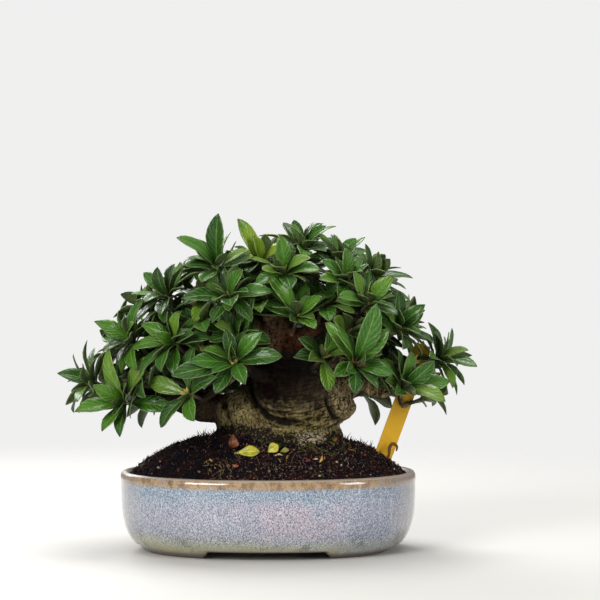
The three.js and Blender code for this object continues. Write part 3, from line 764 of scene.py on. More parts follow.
def makeScraps():
    bm = bmesh.new()
    marks = bm.loops.layers.float_color.new('grainTone')
    for points, half, tone in scraps:
        path = smoothPath([facing(x, z) for x, z in points], 6)
        addThread(bm, marks, path, [half * (1 - 0.6 * abs(k - 3) / 3) for k in range(7)], tone, 6)
    path = smoothPath([Vector(point) for point in curledStalk], 16)
    addThread(bm, marks, path, [0.5 + 0.7 * sin(pi * k / 16) for k in range(17)], (0.13, 0.065, 0.02), 8)
    draw = seeded(19)
    for _ in range(paleFibres['count']):
        foot = facing(ranged(paleFibres['x'], draw()), ranged(paleFibres['z'], draw()))
        away = Vector((draw() - 0.5, -0.2 * draw(), 0.9 * draw() - 0.2)).normalized() * (1.2 + 2 * draw())
        shade = 0.3 + 0.7 * draw()
        tone = (0.40 * shade, 0.26 * shade, 0.13 * shade)
        addThread(bm, marks, [foot, foot + away * 0.5 + 0.2 * up, foot + away], [0.22, 0.2, 0.08], tone)
    makePiece('soilScraps', bm, [crumbPaint()])


def crumbPaint():
    paint = Paint('soilGrains', Roughness=0.92, Specular_IOR_Level=0.1)
    spot = paint.place()
    tone = paint.attribute('grainTone')
    fine = paint.noise(spot, 0.6, detail=2)
    paint.feed(Base_Color=paint.mix(fine * 0.5, tone, (0.012, 0.008, 0.007)))
    paint.feed(Normal=paint.bump(fine, 0.2, 0.8))
    return paint.material


def rootPaint():
    paint = Paint('fineRoots', Roughness=0.8)
    paint.feed(Base_Color=paint.ramp(paint.noise(paint.place(), 7, detail=2), [
        (0.40, (0.030, 0.016, 0.012)), (0.52, (0.075, 0.040, 0.022)), (0.62, (0.24, 0.16, 0.085)),
    ]))
    return paint.material


makeCrumbs()
makeFibres()
makeHairs()
makeScraps()
print('crumbs and roots made')


# Tree wood: the trunk, its limbs, and a twig to each shoot

trunkSections = [Vector(row) for row in (
    (34, 8, 0, 26, 19), (54, 8, 0, 35, 26), (70, 8, 0, 41, 30), (80, 8, 0, 41, 30), (90, 10, -1, 42, 30),
    (99, 13, -1, 40, 29), (108, 18, -1, 35, 26), (116, 20, -1, 30, 22), (124, 15, 0, 24, 18),
    (134, 9, 0, 16, 14), (146, 7, 0, 11.5, 11), (158, 5, 0, 9.5, 9), (172, 2, -1, 7, 7), (184, -2, -2, 4, 4),
)]  # height, middle X and Y, half width, half depth

# Swellings and hollows: angle round the trunk from +X, height, how far out, spread round it, spread in height
trunkKnobs = [
    (-12, 93, 6, 20, 8), (-6, 82, -3.5, 22, 3.5), (-132, 91, 7, 22, 9), (-104, 96, 4, 12, 6),
    (-60, 112, 3, 26, 10), (160, 88, 4, 30, 9), (95, 94, 5, 24, 10), (45, 100, 4, 22, 9), (-110, 76, 4, 40, 5),
    (20, 116, 5, 24, 8),
]
trunkFold = {'middle': 10, 'low': 85, 'rise': (0.034, 0.007), 'depth': 5, 'spread': 2.6, 'tongue': 3.2}

limbs = [  # points, start radius, end radius
    ([(-14, -6, 90), (-38, -10, 91), (-54, -12, 96), (-70, -15, 99), (-82, -18, 98)], 9, 3.6),
    ([(-66, -14, 99), (-82, -10, 104), (-100, -9, 106)], 3.4, 2),
    ([(-16, 10, 92), (-42, 22, 97), (-62, 32, 104), (-78, 36, 110)], 7, 2.8),
    ([(6, 0, 126), (-16, -6, 136), (-38, -12, 138), (-58, -16, 134), (-74, -14, 132)], 7, 2.6),
    ([(-30, -8, 138), (-44, -8, 148), (-54, -10, 156)], 4, 2.2),
    ([(6, 0, 138), (-12, -6, 152), (-22, -14, 164), (-27, -20, 172)], 6, 2.4),
    ([(2, -4, 112), (-8, -24, 118), (-15, -38, 121)], 6, 2.6),
    ([(8, 0, 140), (10, -16, 150), (10, -26, 164)], 5, 2.4),
    ([(10, 0, 128), (28, -8, 144), (42, -18, 156), (48, -24, 162)], 7, 2.6),
    ([(24, -6, 116), (40, -22, 118), (46, -38, 119)], 7, 3),
    ([(36, -2, 114), (60, -10, 124), (72, -18, 134)], 7, 2.6),
    ([(36, -4, 114), (58, -12, 111), (70, -20, 105), (78, -26, 104)], 7, 2.8),
    ([(44, 0, 112), (70, -4, 114), (88, -4, 120), (98, -4, 122)], 5.5, 2.2),
    ([(26, 8, 114), (48, 24, 122), (66, 36, 130)], 7.5, 2.6),
    ([(8, 6, 120), (4, 30, 128), (2, 50, 136)], 8, 2.8),
    ([(-2, 6, 124), (-24, 26, 134), (-42, 42, 142)], 7, 2.6),
    ([(8, 4, 146), (18, 18, 164), (24, 28, 176)], 6, 2.4),
    ([(2, 2, 158), (-12, 16, 172), (-22, 26, 180)], 5, 2.2),
    ([(2, -2, 166), (14, -6, 178), (26, -8, 181), (37, -8, 177)], 5, 2),
]
limbs = [([Vector(point) for point in points], start, end) for points, start, end in limbs]
twig = {'start': 2.1, 'end': 1.4, 'sides': 8, 'steps': 10, 'straight': 5, 'sag': 1.3}
wood = {'sides': 120, 'rows': 110, 'limbSides': 14, 'voxel': 1.02, 'bark': 0.55, 'fine': 0.22, 'flake': 0.22}


def trunkRelief(angle, x, z):
    out = 0
    for at, height, far, across, tall in trunkKnobs:
        apart = (angle * 180 / pi - at + 540) % 360 - 180
        out += far * exp(-(apart / across) ** 2 - ((z - height) / tall) ** 2)
    front = sqrt(max(0, -sin(angle)))
    above = foldDistance(x, z)
    fold = -0.62 * trunkFold['depth'] * exp(-(above / trunkFold['spread']) ** 2)
    fold *= 1 - 0.75 * clamp((x - 11) / 11)
    tongue = trunkFold['tongue'] * exp(-((above - 11) / 8) ** 2)
    return out + front * (fold + tongue)


# Creases on the front as lines of X and Z, with how deep and how wide they are
creases = [
    ([(-12.6, 118), (-11.7, 106), (-8.1, 97.7), (0.1, 89), (8.1, 86), (15, 85.2), (23, 85)], 3.0, 2.0),
    ([(-3.6, 97.4), (1.6, 92.9), (10.6, 91.4), (19.7, 91)], 1.3, 0.9),
    ([(-2.3, 101.3), (4.2, 96.8), (14.5, 95.3), (24.2, 94.4)], 0.9, 0.8),
    ([(-15.9, 103.2), (-13.3, 94.8), (-6.2, 87.1), (2.9, 81.9)], 1.1, 1.0),
    ([(21, 88.4), (37.2, 86.4), (50.1, 83.8)], 1.0, 0.9),
    ([(18.4, 83.8), (33.9, 81.9), (48.8, 80)], 0.9, 0.9),
    ([(21, 78.7), (35.2, 77.4)], 0.7, 0.8),
    ([(37.2, 103.9), (39.5, 94.8), (44, 87.3), (49.1, 85.9)], 2.5, 1.4),
    ([(41.1, 103.2), (42.4, 95.5), (45.6, 90.3)], 1.0, 0.8),
    ([(-28.2, 101), (-26.9, 92.2), (-24.9, 84.5)], 2.4, 1.8),
]
knots = [  # middle X and Z, half width, half height, how deep, rings round it
    (0.8, 106.7, 4.8, 5.8, 0.9, 0.5), (48.5, 96, 5.5, 6.5, -1.2, -0.25), (-18, 94.5, 7, 8.5, -1.0, 0.35),
    (-24, 92, 1.6, 1.8, 1.6, 0.1),
]
# Middle X and Z of rings in the grain, and their reach
swirls = [(48.5, 96, 6.5), (0.8, 106.7, 7.5), (-18, 95, 8)]


def fromLine(x, z, line):  # how far a place is from a line of X and Z, and where along it that is
    nearest, along = 1e9, 0
    for k, ((ax, az), (bx, bz)) in enumerate(zip(line[:-1], line[1:])):
        dx, dz = bx - ax, bz - az
        share = clamp(((x - ax) * dx + (z - az) * dz) / (dx * dx + dz * dz))
        apart = hypot(x - ax - share * dx, z - az - share * dz)
        if apart < nearest:
            nearest, along = apart, (k + share) / (len(line) - 1)
    return nearest, along


grain = {'waves': 2.1, 'high': 0.42, 'spread': 9, 'left': -16, 'right': 44, 'sway': 1.6}


def foldDistance(x, z):  # how far above the fold a place on the front is
    apart = x - trunkFold['middle']
    return z - (trunkFold['low'] + trunkFold['rise'][apart > 0] * apart ** 2)


def grainAt(x, z):  # the grain runs round the swirls, and elsewhere along the fold
    for cx, cz, reach in swirls:
        if hypot(x - cx, z - cz) < reach:
            return hypot(x - cx, z - cz)
    return max(-12, foldDistance(x, z))


def frontDetail(x, z):  # how far in the front of the trunk goes at a place
    deep = 0
    above = foldDistance(x, z)
    if grain['left'] < x < grain['right']:  # ridges that follow the fold
        sway = grain['sway'] * noise.noise(Vector((x / 9, 0, z / 7)))
        fade = min(1, (x - grain['left']) / 6, (grain['right'] - x) / 6)
        ripple = cos((above + sway) * grain['waves'])
        deep += grain['high'] * fade * exp(-(above / grain['spread']) ** 2) * ripple
    for line, far, wide in creases:
        apart, along = fromLine(x, z, line)
        if apart < 3 * wide:  # it fades at both ends
            deep += far * min(1, 0.15 + 5 * along, 0.15 + 3.5 * (1 - along)) * exp(-(apart / wide) ** 2)
    for kx, kz, wide, tall, far, rings in knots:
        r = hypot((x - kx) / wide, (z - kz) / tall)
        if r < 3:
            deep += far * exp(-(r * 1.1) ** 4) + rings * cos(r * 9) * exp(-(r - 1) ** 2)
    return deep


def makeTwigPath(shoot):
    nearest = min(forks, key=lambda fork: (fork[0] - shoot['foot']).length)
    bend = shoot['foot'] - twig['straight'] * shoot['axis']
    middle = (nearest[0] + bend) / 2 - twig['sag'] * up
    return smoothPath([nearest[0], middle, bend, shoot['foot']], twig['steps']), min(nearest[1], twig['start'])


def makeWood():
    bm = bmesh.new()
    sections = smoothPath(trunkSections, wood['rows'])

    def placeAt(row, angle):
        z, cx, cy, rx, ry = sections[min(max(row - 1, 0), wood['rows'])]
        if row == 0 or row == wood['rows'] + 2:
            return Vector((cx, cy, z))
        relief = trunkRelief(angle, cx + rx * cos(angle), z)
        return Vector((cx + (rx + relief) * cos(angle), cy + (ry + relief) * sin(angle), z))
    sheath(bm, placeAt, wood['sides'], wood['rows'] + 3)
    for points, start, end in limbs:
        steps = 6 * len(points)
        path = smoothPath(points, steps)
        for k, spot in enumerate(path):
            sway = noise.noise_vector(spot / 14) * 1.1
            path[k] = spot + sway * min(1, k / 4, (steps - k) / 4)
        swell = [r * (1 + 0.14 * noise.noise(p / 7)) for r, p in zip(taper(start, end, steps + 1), path)]
        tube(bm, path, swell, wood['limbSides'])
    for shoot in shoots + innerShoots:
        path, start = makeTwigPath(shoot)
        tube(bm, path, taper(start, twig['end'], len(path)), twig['sides'])
    body = makeBody('treeWood', bm)
    skin = body.modifiers.new('skin', 'REMESH')
    skin.mode = 'VOXEL'
    skin.voxel_size = wood['voxel'] * mm
    applyModifiers(body)
    roughenBark(body.data)
    setPiece(body, [barkPaint()], ['tree_wood'])


def roughenBark(mesh):
    mesh.attributes.new('barkMarks', 'FLOAT_COLOR', 'POINT')
    mesh.attributes.new('barkFlow', 'FLOAT', 'POINT')
    marks = mesh.attributes['barkMarks'].data
    flow = mesh.attributes['barkFlow'].data
    normals = [Vector(normal.vector) for normal in mesh.vertex_normals]
    for index, corner in enumerate(mesh.vertices):
        spot = corner.co / mm
        normal = normals[index]
        onTrunk = clamp((1.12 - hypot((spot.x - 14) / 50, spot.y / 40)) / 0.16)
        onTrunk *= clamp((140 - spot.z) / 14)
        front = min(1, 1.8 * max(0, -normal.y)) * onTrunk
        deep = frontDetail(spot.x, spot.z) * front if front > 0.05 else 0
        strands = noise.fractal(Vector((spot.x / 3.2, spot.y / 3.2, spot.z / 9)), 1.0, 2.0, 3)
        fine = noise.fractal(spot / 1.6, 1.0, 2.0, 2)
        scale = 0.45 + 0.55 * onTrunk
        flakes = noise.cell(spot / 2.1 + 0.6 * noise.noise_vector(spot / 2.5)) * onTrunk
        rough = scale * (strands * wood['bark'] + fine * wood['fine'])
        corner.co += normal * (-deep + rough + wood['flake'] * flakes) * mm
        # Painted shade: the first channel is how deep a crease goes in, and the bark's colour darkens by it
        marks[index].color = (clamp(deep / 1.6), 0.5 + 0.5 * strands, onTrunk, 1)
        flow[index].value = grainAt(spot.x, spot.z) if normal.y < 0 else spot.x + spot.y


def barkPaint():
    paint = Paint('bark', Roughness=0.86, Specular_IOR_Level=0.08)
    spot = paint.place()
    x = paint.apart(spot, 'X')
    height = paint.apart(spot, 'Z')
    # The first channel paints shade into the creases, by how deep they go in
    deep, strands, onTrunk = paint.channels('barkMarks')
    drift = paint.noise(spot, 13) - 0.5
    fine = paint.noise(paint.stretched(spot, 1, 1, 0.7), 1.5, detail=4, rough=0.72)
    run = paint.node('ShaderNodeCombineXYZ', {}, {
        0: paint.attribute('barkFlow', out='Fac'), 1: x * 0.14, 2: height * 0.05})
    streaks = paint.noise(run, 1.3, detail=4, rough=0.65)
    colour = paint.ramp((fine * 0.48 + strands * 0.26 + streaks * 0.26 - 0.5) * 1.15 + 0.5, [
        (0.39, (0.006, 0.004, 0.003)), (0.46, (0.042, 0.030, 0.014)), (0.52, (0.115, 0.086, 0.040)),
        (0.59, (0.23, 0.182, 0.090)), (0.69, (0.38, 0.31, 0.17)),
    ])
    # Yellow-green lichen low down and on the left, on what stands out
    low = paint.rise(height + drift * 30 - paint.rise(x, 10, -30) * 14, 100, 82)
    lichen = paint.patchy(spot, 2.0, 0.45, 0.60, detail=4, rough=0.7) * low
    green = paint.patchy(spot, 4, 0.50, 0.62, detail=4, rough=0.65) * paint.rise(height, 96, 80)
    # The left limb is dark brown, and so is the wood above the fold
    limb = paint.rise(x + (fine - 0.5) * 8, -27, -33) * paint.rise(height, 122, 112)
    level = height + drift * 16 + paint.rise(x, 30, 50) * -14 + paint.rise(x, -6, -16) * -8
    upper = paint.rise(level, 90, 104)
    # Painted shade: the recess high on the trunk, under the crown, is painted near black
    shadedHollow = paint.rise(height + drift * 10, 110, 120) * paint.rise(height, 138, 128)
    # Rusty wood higher up, a pale strand in front of it, and a rusty patch
    rust = paint.patchy(spot, 3.5, 0.46, 0.60, detail=4) * paint.rise(height, 126, 140)
    strand = paint.rise(abs(x - 3.5 + drift * 6), 6.5, 2.5)
    strand = strand * paint.rise(height, 126, 132) * paint.rise(height, 162, 152)
    patch = paint.rise(x, 5, 9) * paint.rise(height, 129, 134) * paint.rise(height, 147, 142)
    # Painted light: the pale right side and the lump at the left are painted lighter, for the light on them
    right = paint.rise(x, 34, 47) * onTrunk * paint.rise(fine, 0.42, 0.58)
    lump = paint.distance(paint.stretched(spot, 1, 0, 0.85), (-18, 0, 80))
    bright = paint.rise(lump, 13, 6) * onTrunk * paint.rise(fine, 0.42, 0.56)
    # Fine cracks run along the grain
    calm = paint.rise(height, 110, 96, 0.25, 1.0) * onTrunk
    split = paint.rise(streaks, 0.46, 0.38) * calm
    ridge = paint.rise(streaks, 0.53, 0.64) * calm * (1 - upper * 0.7)
    pits = paint.rise(paint.noise(spot, 0.9, detail=2), 0.40, 0.30)
    # Pale crust where a root meets the soil, soil clinging to the foot, and the knot's dark middle
    crust = paint.patchy(paint.stretched(spot, 0.6, 1, 1.3), 1.6, 0.47, 0.56, detail=4, rough=0.7)
    crust = crust * paint.rise(x, 17, 22) * paint.rise(x, 39, 34) * paint.rise(height + drift * 6, 81, 77)
    foot = paint.rise(height + (fine - 0.5) * 18 + paint.rise(x, 8, -6) * -5, 82, 76)
    foot = foot * (1 - crust) * (1 - 0.6 * paint.rise(fine, 0.54, 0.62))
    knot = paint.rise(paint.distance(paint.stretched(spot, 1, 0, 0.85), (0.8, 0, 90.7)), 6.0, 3.6)
    paint.feed(Base_Color=paint.cover(
        colour, (lichen * 0.75, (0.37, 0.295, 0.085)), (green * 0.35, (0.085, 0.095, 0.02)),
        (limb * 0.93, (0.010, 0.0055, 0.005)), (upper * onTrunk * 0.88, (0.023, 0.015, 0.011)),
        (upper * 0.6 * (1 - onTrunk), (0.028, 0.019, 0.013)),
        (shadedHollow * 0.75 * paint.rise(onTrunk, 0.0, 0.5), (0.010, 0.008, 0.009)),
        (rust * 0.7, (0.085, 0.032, 0.018)), (strand * paint.rise(fine, 0.40, 0.54) * 0.8, (0.30, 0.19, 0.11)),
        (patch * paint.rise(fine, 0.42, 0.56) * 0.75, (0.22, 0.075, 0.032)), (right * 0.7, (0.44, 0.345, 0.19)),
        (bright * 0.65, (0.40, 0.33, 0.16)), (split * 0.88, (0.008, 0.006, 0.004)),
        (ridge * 0.45, (0.27, 0.215, 0.11)), (pits * 0.8, (0.008, 0.006, 0.005)),
        # Painted shade in the creases, darker the deeper they go in
        (crust * 0.85, (0.46, 0.38, 0.26)), (deep * 0.95, (0.004, 0.003, 0.004)),
        (foot * 0.95, (0.005, 0.004, 0.0055)), (knot * 0.75, (0.030, 0.011, 0.012))))
    cracks = paint.noise(paint.stretched(spot, 1, 1, 0.4), 1.1, detail=5, rough=0.75)
    paint.feed(Normal=paint.bump(cracks + fine * 0.5 - pits * 0.4 + streaks * calm * 1.5, 0.8, 1.0))
    return paint.material


# Where the shoots are and how their leaves lie: the rule of the frame, then more leaves between its own

leaf = {
    'length': 31, 'width': 11, 'thickness': 1.3, 'stalk': 1.3, 'arch': 0.09, 'fold': 0.32, 'stem': 8,
    'clearance': 0.32, 'free': 0.16,
}
young = {'length': 17.5, 'width': 6.5, 'arch': -0.03}
frontShoots = [  # hub, then the tips of its leaves as X and Z where they show
    ((-20, -62, 125), [(-48, 127), (10, 130), (-3, 145), (-57, 113), (-32, 107), (-13, 113)]),
    ((-18, -46, 140), [(-33, 162), (-12, 168), (-36, 139), (-36, 147)]),
    ((-23, -50, 165), [(-54, 166), (-15, 184), (4, 170)]),
    ((-32, -36, 184), [(-31, 220), (-46, 205), (-52, 187), (-48, 211), (-66, 196), (-9, 193)]),
    ((-64, -20, 166), [(-71, 186), (-60, 188), (-81, 180), (-84, 171), (-66, 150)]),
    ((-87, -18, 137), [(-112, 151), (-81, 165), (-106, 136), (-91, 160)]),
    ((-59, -42, 137), [(-80, 150), (-56, 158), (-46, 144)]),
    ((-91, -24, 98), [(-102, 134), (-73, 130), (-113, 110), (-124, 93), (-107, 80), (-98, 76), (-59, 95)]),
    ((-113, -12, 110), [(-137, 117), (-119, 123), (-123, 99)]),
    ((55, -56, 124), [(69, 163), (37, 151), (77, 147), (79, 118), (42, 118), (55, 107)]),
    ((83, -34, 145), [(84, 171), (101, 162), (97, 148), (67, 148), (71, 167)]),
    ((86, -34, 107), [(107, 126), (92, 132), (114, 100), (118, 106), (75, 114)]),
    ((111, -4, 124), [(105, 150), (131, 132), (137, 121), (122, 116), (117, 111)]),
    ((19, -44, 153), [(1, 179), (-3, 162), (31, 147), (35, 167)]),
    ((11, -40, 181), [(8, 207), (34, 184), (-8, 174), (23, 200)]),
    ((-4, -26, 186), [(-9, 206), (8, 209), (-28, 191), (-19, 217)]),
    ((22, -14, 196), [(15, 213), (38, 213), (27, 212)]),
    ((51, -34, 174), [(50, 198), (38, 192), (33, 178), (66, 171)]),
    ((63, -44, 161), [(55, 183), (80, 180), (44, 165), (83, 156)]),
    ((35, -46, 128), [(17, 129), (21, 121), (39, 107), (20, 141)]),
    ((46, -10, 189), [(44, 206), (54, 204), (62, 196), (34, 205)]),
    ((66, -12, 178), [(72, 196), (80, 187), (82, 177), (56, 193)]),
]
dome = {
    'middle': (0, 4, 96), 'halfLength': 106, 'halfDepth': 63, 'height': 92, 'tries': 76, 'apart': 31,
    'most': 23,
    'openMiddle': 8, 'openHalf': 45, 'openTop': 128,
}
inside = [  # domes of shoots between and behind the others
    {'middle': (0, 2, 98), 'halfLength': 101, 'halfDepth': 58, 'height': 89,
     'tries': 170, 'apart': 19, 'most': 44},
    {'middle': (0, 0, 100), 'halfLength': 85, 'halfDepth': 46, 'height': 73,
     'tries': 140, 'apart': 17, 'most': 44},
    {'middle': (0, 0, 104), 'halfLength': 66, 'halfDepth': 34, 'height': 58,
     'tries': 90, 'apart': 16, 'most': 26},
]
heart = Vector((0, 0, 104))
bends = [  # a turn to the side, a raise, and a share of the length
    (0, 0, 1), (9, 0, 1), (-9, 0, 1), (0, 11, 1), (0, -11, 1), (18, 6, 1), (-18, 6, 1), (0, 22, 1),
    (14, 16, 0.94), (-14, 16, 0.94), (22, -8, 0.94), (-22, -8, 0.94), (0, 34, 0.9), (30, 14, 0.85),
    (-30, 14, 0.85), (0, -24, 0.85), (38, 26, 0.8), (-38, 26, 0.8), (0, 48, 0.8),
]


def domeHubs(shape, taken):
    found = []
    for i in range(shape['tries']):
        if len(found) == shape['most']:
            break
        share = (i + 0.5) / shape['tries']
        around = radians(i * 137.508)
        flat = sqrt(1 - share * share)
        hub = Vector(shape['middle']) + Vector((
            shape['halfLength'] * flat * cos(around), shape['halfDepth'] * flat * sin(around),
            shape['height'] * share))
        inOpening = hub.z < dome['openTop'] and abs(hub.x - dome['openMiddle']) < dome['openHalf']
        if not (hub.y < 0 and inOpening) and all((other - hub).length > shape['apart'] for other in taken):
            taken.append(hub)
            found.append(Vector([floor(c + 0.5) for c in hub]))
    return found


def startShoot(hub, tips, name):
    axis = ((hub - heart).normalized() + 0.35 * up).normalized()
    across = up.cross(axis).normalized()
    return {
        'name': name, 'at': hub, 'tips': tips, 'axis': axis, 'foot': hub - leaf['stem'] * axis,
        'across': across, 'rise': axis.cross(across), 'leaves': [], 'outer': [],
    }


def aside(shoot, angle):  # the direction at an angle round the shoot's axis
    return shoot['across'] * cos(angle) + shoot['rise'] * sin(angle)


def turned(vector, axis, angle):
    return Quaternion(axis, angle) @ vector


def rootOf(shoot, tip, count):
    out = (tip - shoot['at']).normalized()
    return shoot['at'] + 1.1 * out + ((count % 3) * 0.7 - 0.7) * shoot['axis']


def aimed(shoot, tip, count, face, width, arch, fold, rows=3):
    return {
        'base': rootOf(shoot, tip, count), 'tip': tip, 'face': face, 'width': width, 'arch': arch,
        'fold': fold, 'rows': rows,
    }


def leavesOf(shoot, index):
    draw = seeded(100 + index)
    at, axis, tips = shoot['at'], shoot['axis'], shoot['tips']
    leaves = []
    for x, z in tips:
        apparent = hypot(x - at.x, z - at.z)
        length = max(25, 1.07 * apparent)
        tip = Vector((x, at.y - sqrt(length * length - apparent * apparent), z))
        face = axis + 0.8 * viewer + 0.25 * up
        width = leaf['width'] * (0.45 + 0.55 * (length / leaf['length']))
        arch = leaf['arch'] * (0.5 + draw())
        leaves.append(aimed(shoot, tip, len(leaves), face, width, arch, leaf['fold'] * (0.6 + 0.8 * draw())))
    turn = draw() * 360
    ring, wanted = (8, max(0, 6 - len(tips))) if tips else (5, 5)
    options = []
    for k in range(ring):
        angle = radians(turn + k * 360 / ring + (draw() - 0.5) * 24)
        lift = radians(4 + 22 * draw())
        length = leaf['length'] * (0.84 + 0.24 * draw())
        out = aside(shoot, angle) * cos(lift) + axis * sin(lift)
        nearest = min([out.angle(other['tip'] - at) for other in leaves] + [pi])
        width = leaf['width'] * (0.9 + 0.2 * draw())
        arch = leaf['arch'] * (0.6 + draw())
        options.append((nearest, aimed(shoot, at + out * length, k, axis, width, arch, leaf['fold'])))
    options.sort(key=lambda option: -option[0])
    leaves += [option[1] for option in options[:wanted]]
    out = (aside(shoot, radians(turn)) * 0.62 + axis).normalized()
    tip = at + out * young['length'] * (0.85 + 0.3 * draw())
    leaves.append(aimed(shoot, tip, 1, axis, young['width'], young['arch'], leaf['fold'], 2))
    return leaves


# As they show, leaves are folded, arched blades with a waved edge and a thin wall
blade = {
    'across': 4, 'along': 8, 'wall': 0.42, 'wave': 0.09, 'stalkHalf': 0.6, 'keel': 0.12, 'clearance': 0.18,
    'rise': 1.25, 'fall': (0.76, 1.05), 'spread': 1.35, 'weld': 0.03,
}
bladeRows = {3: (0, 0.4, 0.74, 1), 2: (0, 0.58, 1), 5: (0, 0.22, 0.42, 0.62, 0.82, 1)}


def outlineAt(t):
    return t ** 1.4 * (1 - t) ** 0.8 / 0.2365


def leafFrame(part):
    chord = part['tip'] - part['base']
    length = chord.length
    along = chord / length
    normal = (part['face'] - part['face'].dot(along) * along).normalized()
    return along, normal, along.cross(normal), length


class Proxy:  # the plain blade that stands for a leaf while places are tried
    def __init__(self, corners, sides):
        self.low = Vector([min(c[i] for c in corners) for i in range(3)])
        self.high = Vector([max(c[i] for c in corners) for i in range(3)])
        self.tree = BVHTree.FromPolygons(corners, sides, all_triangles=True)

    def meets(self, other):
        apart = any(self.low[i] > other.high[i] or other.low[i] > self.high[i] for i in range(3))
        return not apart and bool(self.tree.overlap(other.tree))


def bladeProxy(part, grow=0, start=0):
    along, normal, side, length = leafFrame(part)
    rows = part['rows']
    thickness = leaf['thickness'] if rows < 5 else blade['wall']
    corners = []
    for row in range(rows):
        t = max(bladeRows[rows][row], start)
        half = max(part['width'] / 2 * outlineAt(t), leaf['stalk'] / 2) + grow
        thick = thickness * (1 if t > 0 else 0.8) / 2 + grow
        for edge, top in ((0, 1), (1, 0), (0, -1), (-1, 0)):
            lift = part['arch'] * length * 4 * t * (1 - t) + part['fold'] * half * abs(edge)
            spot = part['base'] + along * t * length + normal * (lift + top * thick)
            corners.append(spot + side * half * edge)
    tip = len(corners)
    corners.append(part['base'] + along * (length + grow))
    sides = [(0, 1, 2), (0, 2, 3)]
    for row in range(rows - 1):
        for k in range(4):
            a, b = row * 4 + k, row * 4 + (k + 1) % 4
            sides += [(a + 4, a, b + 4), (a, b, b + 4)]
    sides += [(tip, (rows - 1) * 4 + k, (rows - 1) * 4 + (k + 1) % 4) for k in range(4)]
    return Proxy(corners, sides)


def nodeProxy(name):
    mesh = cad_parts[name].data
    mesh.calc_loop_triangles()
    corners = [corner.co / mm for corner in mesh.vertices]
    return Proxy(corners, [tuple(side.vertices) for side in mesh.loop_triangles])


def stemProxy(shoot):
    start = shoot['foot'] + 0.3 * shoot['axis']
    end = shoot['at'] + 1.6 * shoot['axis']
    across = shoot['axis'].orthogonal().normalized()
    other = shoot['axis'].cross(across)
    corners = [start, end]
    for k in range(6):
        out = across * cos(k * pi / 3) + other * sin(k * pi / 3)
        corners += [start + 1.3 * out, end + 2.2 * out]
    sides = []
    for k in range(6):
        a, b = 2 + 2 * k, 2 + 2 * ((k + 1) % 6)
        sides += [(0, b, a), (1, a + 1, b + 1), (a, b, b + 1), (a, b + 1, a + 1)]
    return Proxy(corners, sides)


def bent(part, turn, raised, share):
    _, normal, side, _ = leafFrame(part)
    chord = turned(turned(part['tip'] - part['base'], side, radians(raised)), normal, radians(turn)) * share
    return {**part, 'tip': part['base'] + chord, 'width': part['width'] * sqrt(share)}


obstacles = []


def isClear(owner, proxy):
    return not any(other.meets(proxy) for holder, other in obstacles if holder != owner)


def placeLeaf(shoot, owner, part):  # in the first of its bends that meets nothing, or not at all
    clearance = leaf['clearance'] if part['rows'] < 5 else blade['clearance']
    for turn, raised, share in bends:
        tried = bent(part, turn, raised, share)
        outer = bladeProxy(tried, clearance, leaf['free'])
        if any(other.meets(outer) for other in shoot['outer']):
            continue
        if isClear(owner, bladeProxy(tried, clearance)):
            shoot['leaves'].append(tried)
            shoot['outer'].append(bladeProxy(tried, 0, leaf['free']))
            obstacles.append((owner, bladeProxy(tried)))
            return


def placeInTurn(group, wishes):  # each shoot gets its first leaf, then each its second
    for turn in range(max(len(leaves) for leaves in wishes)):
        for (owner, shoot), leaves in zip(group, wishes):
            if turn < len(leaves):
                placeLeaf(shoot, owner, leaves[turn])


def whorl(shoot, draw, count, lift, length, width):
    turn = draw() * 360
    leaves = []
    for k in range(count):
        angle = radians(turn + k * 360 / count + (draw() - 0.5) * 30)
        raised = radians(ranged(lift, draw()))
        far = ranged(length, draw())
        out = aside(shoot, angle) * cos(raised) + shoot['axis'] * sin(raised)
        rolled = shoot['axis'] + (shoot['across'] * (draw() - 0.5) + shoot['rise'] * (draw() - 0.5)) * 0.9
        arch = leaf['arch'] * (0.3 + 1.2 * draw())
        fold = leaf['fold'] * (0.5 + draw())
        thin = width * sqrt(far / leaf['length'])
        leaves.append(aimed(shoot, shoot['at'] + out * far, k, rolled.normalized(), thin, arch, fold, 5))
    return leaves


shoots = []
for hub, tips in frontShoots:
    shoots.append(startShoot(Vector(hub), tips, f'leafy_shoot_{len(shoots) + 1:02d}'))
for hub in domeHubs(dome, [shoot['at'] for shoot in shoots]):
    shoots.append(startShoot(hub, [], f'leafy_shoot_{len(shoots) + 1:02d}'))
forks = []
for points, start, end in limbs:
    path = smoothPath(points, 12)
    forks += [(path[k], start + (end - start) * k / 12) for k in range(5, 13)]

obstacles += [('ground', nodeProxy(name)) for name in ('tree_wood', 'soil', 'pot', 'plant_label')]
group = list(enumerate(shoots))
obstacles += [(owner, stemProxy(shoot)) for owner, shoot in group]
placeInTurn(group, [leavesOf(shoot, index) for index, shoot in group])
print('leaves of the frame placed:', sum(len(shoot['leaves']) for shoot in shoots))


# Places for the added leaves are tried against blades as thin as they show
obstacles[:] = [item for item in obstacles if item[0] == 'ground']
for owner, shoot in group:
    obstacles.append((owner, stemProxy(shoot)))
    thin = [{**part, 'rows': 5} for part in shoot['leaves']]
    shoot['outer'] = [bladeProxy(part, 0, leaf['free']) for part in thin]
    obstacles += [(owner, bladeProxy(part)) for part in thin]

# More leaves between those of the frame: their count, how far they are raised, their length and their width
whorls = {
    'outer': [(4, (48, 72), (17, 25), 9.5), (6, (-20, 14), (23, 32), 11), (6, (16, 46), (19, 30), 9.5)],
    'inner': [(6, (0, 36), (24, 32), 11.5), (3, (48, 72), (15, 22), 9)],
}
openFront = [(-64, 64, 113), (-8, 40, 150)]  # left, right and top of what shows of the trunk from the front
underside = [(25, 98), (-60, 91), (-200, 89)]  # right of this X, how low the added leaves hang


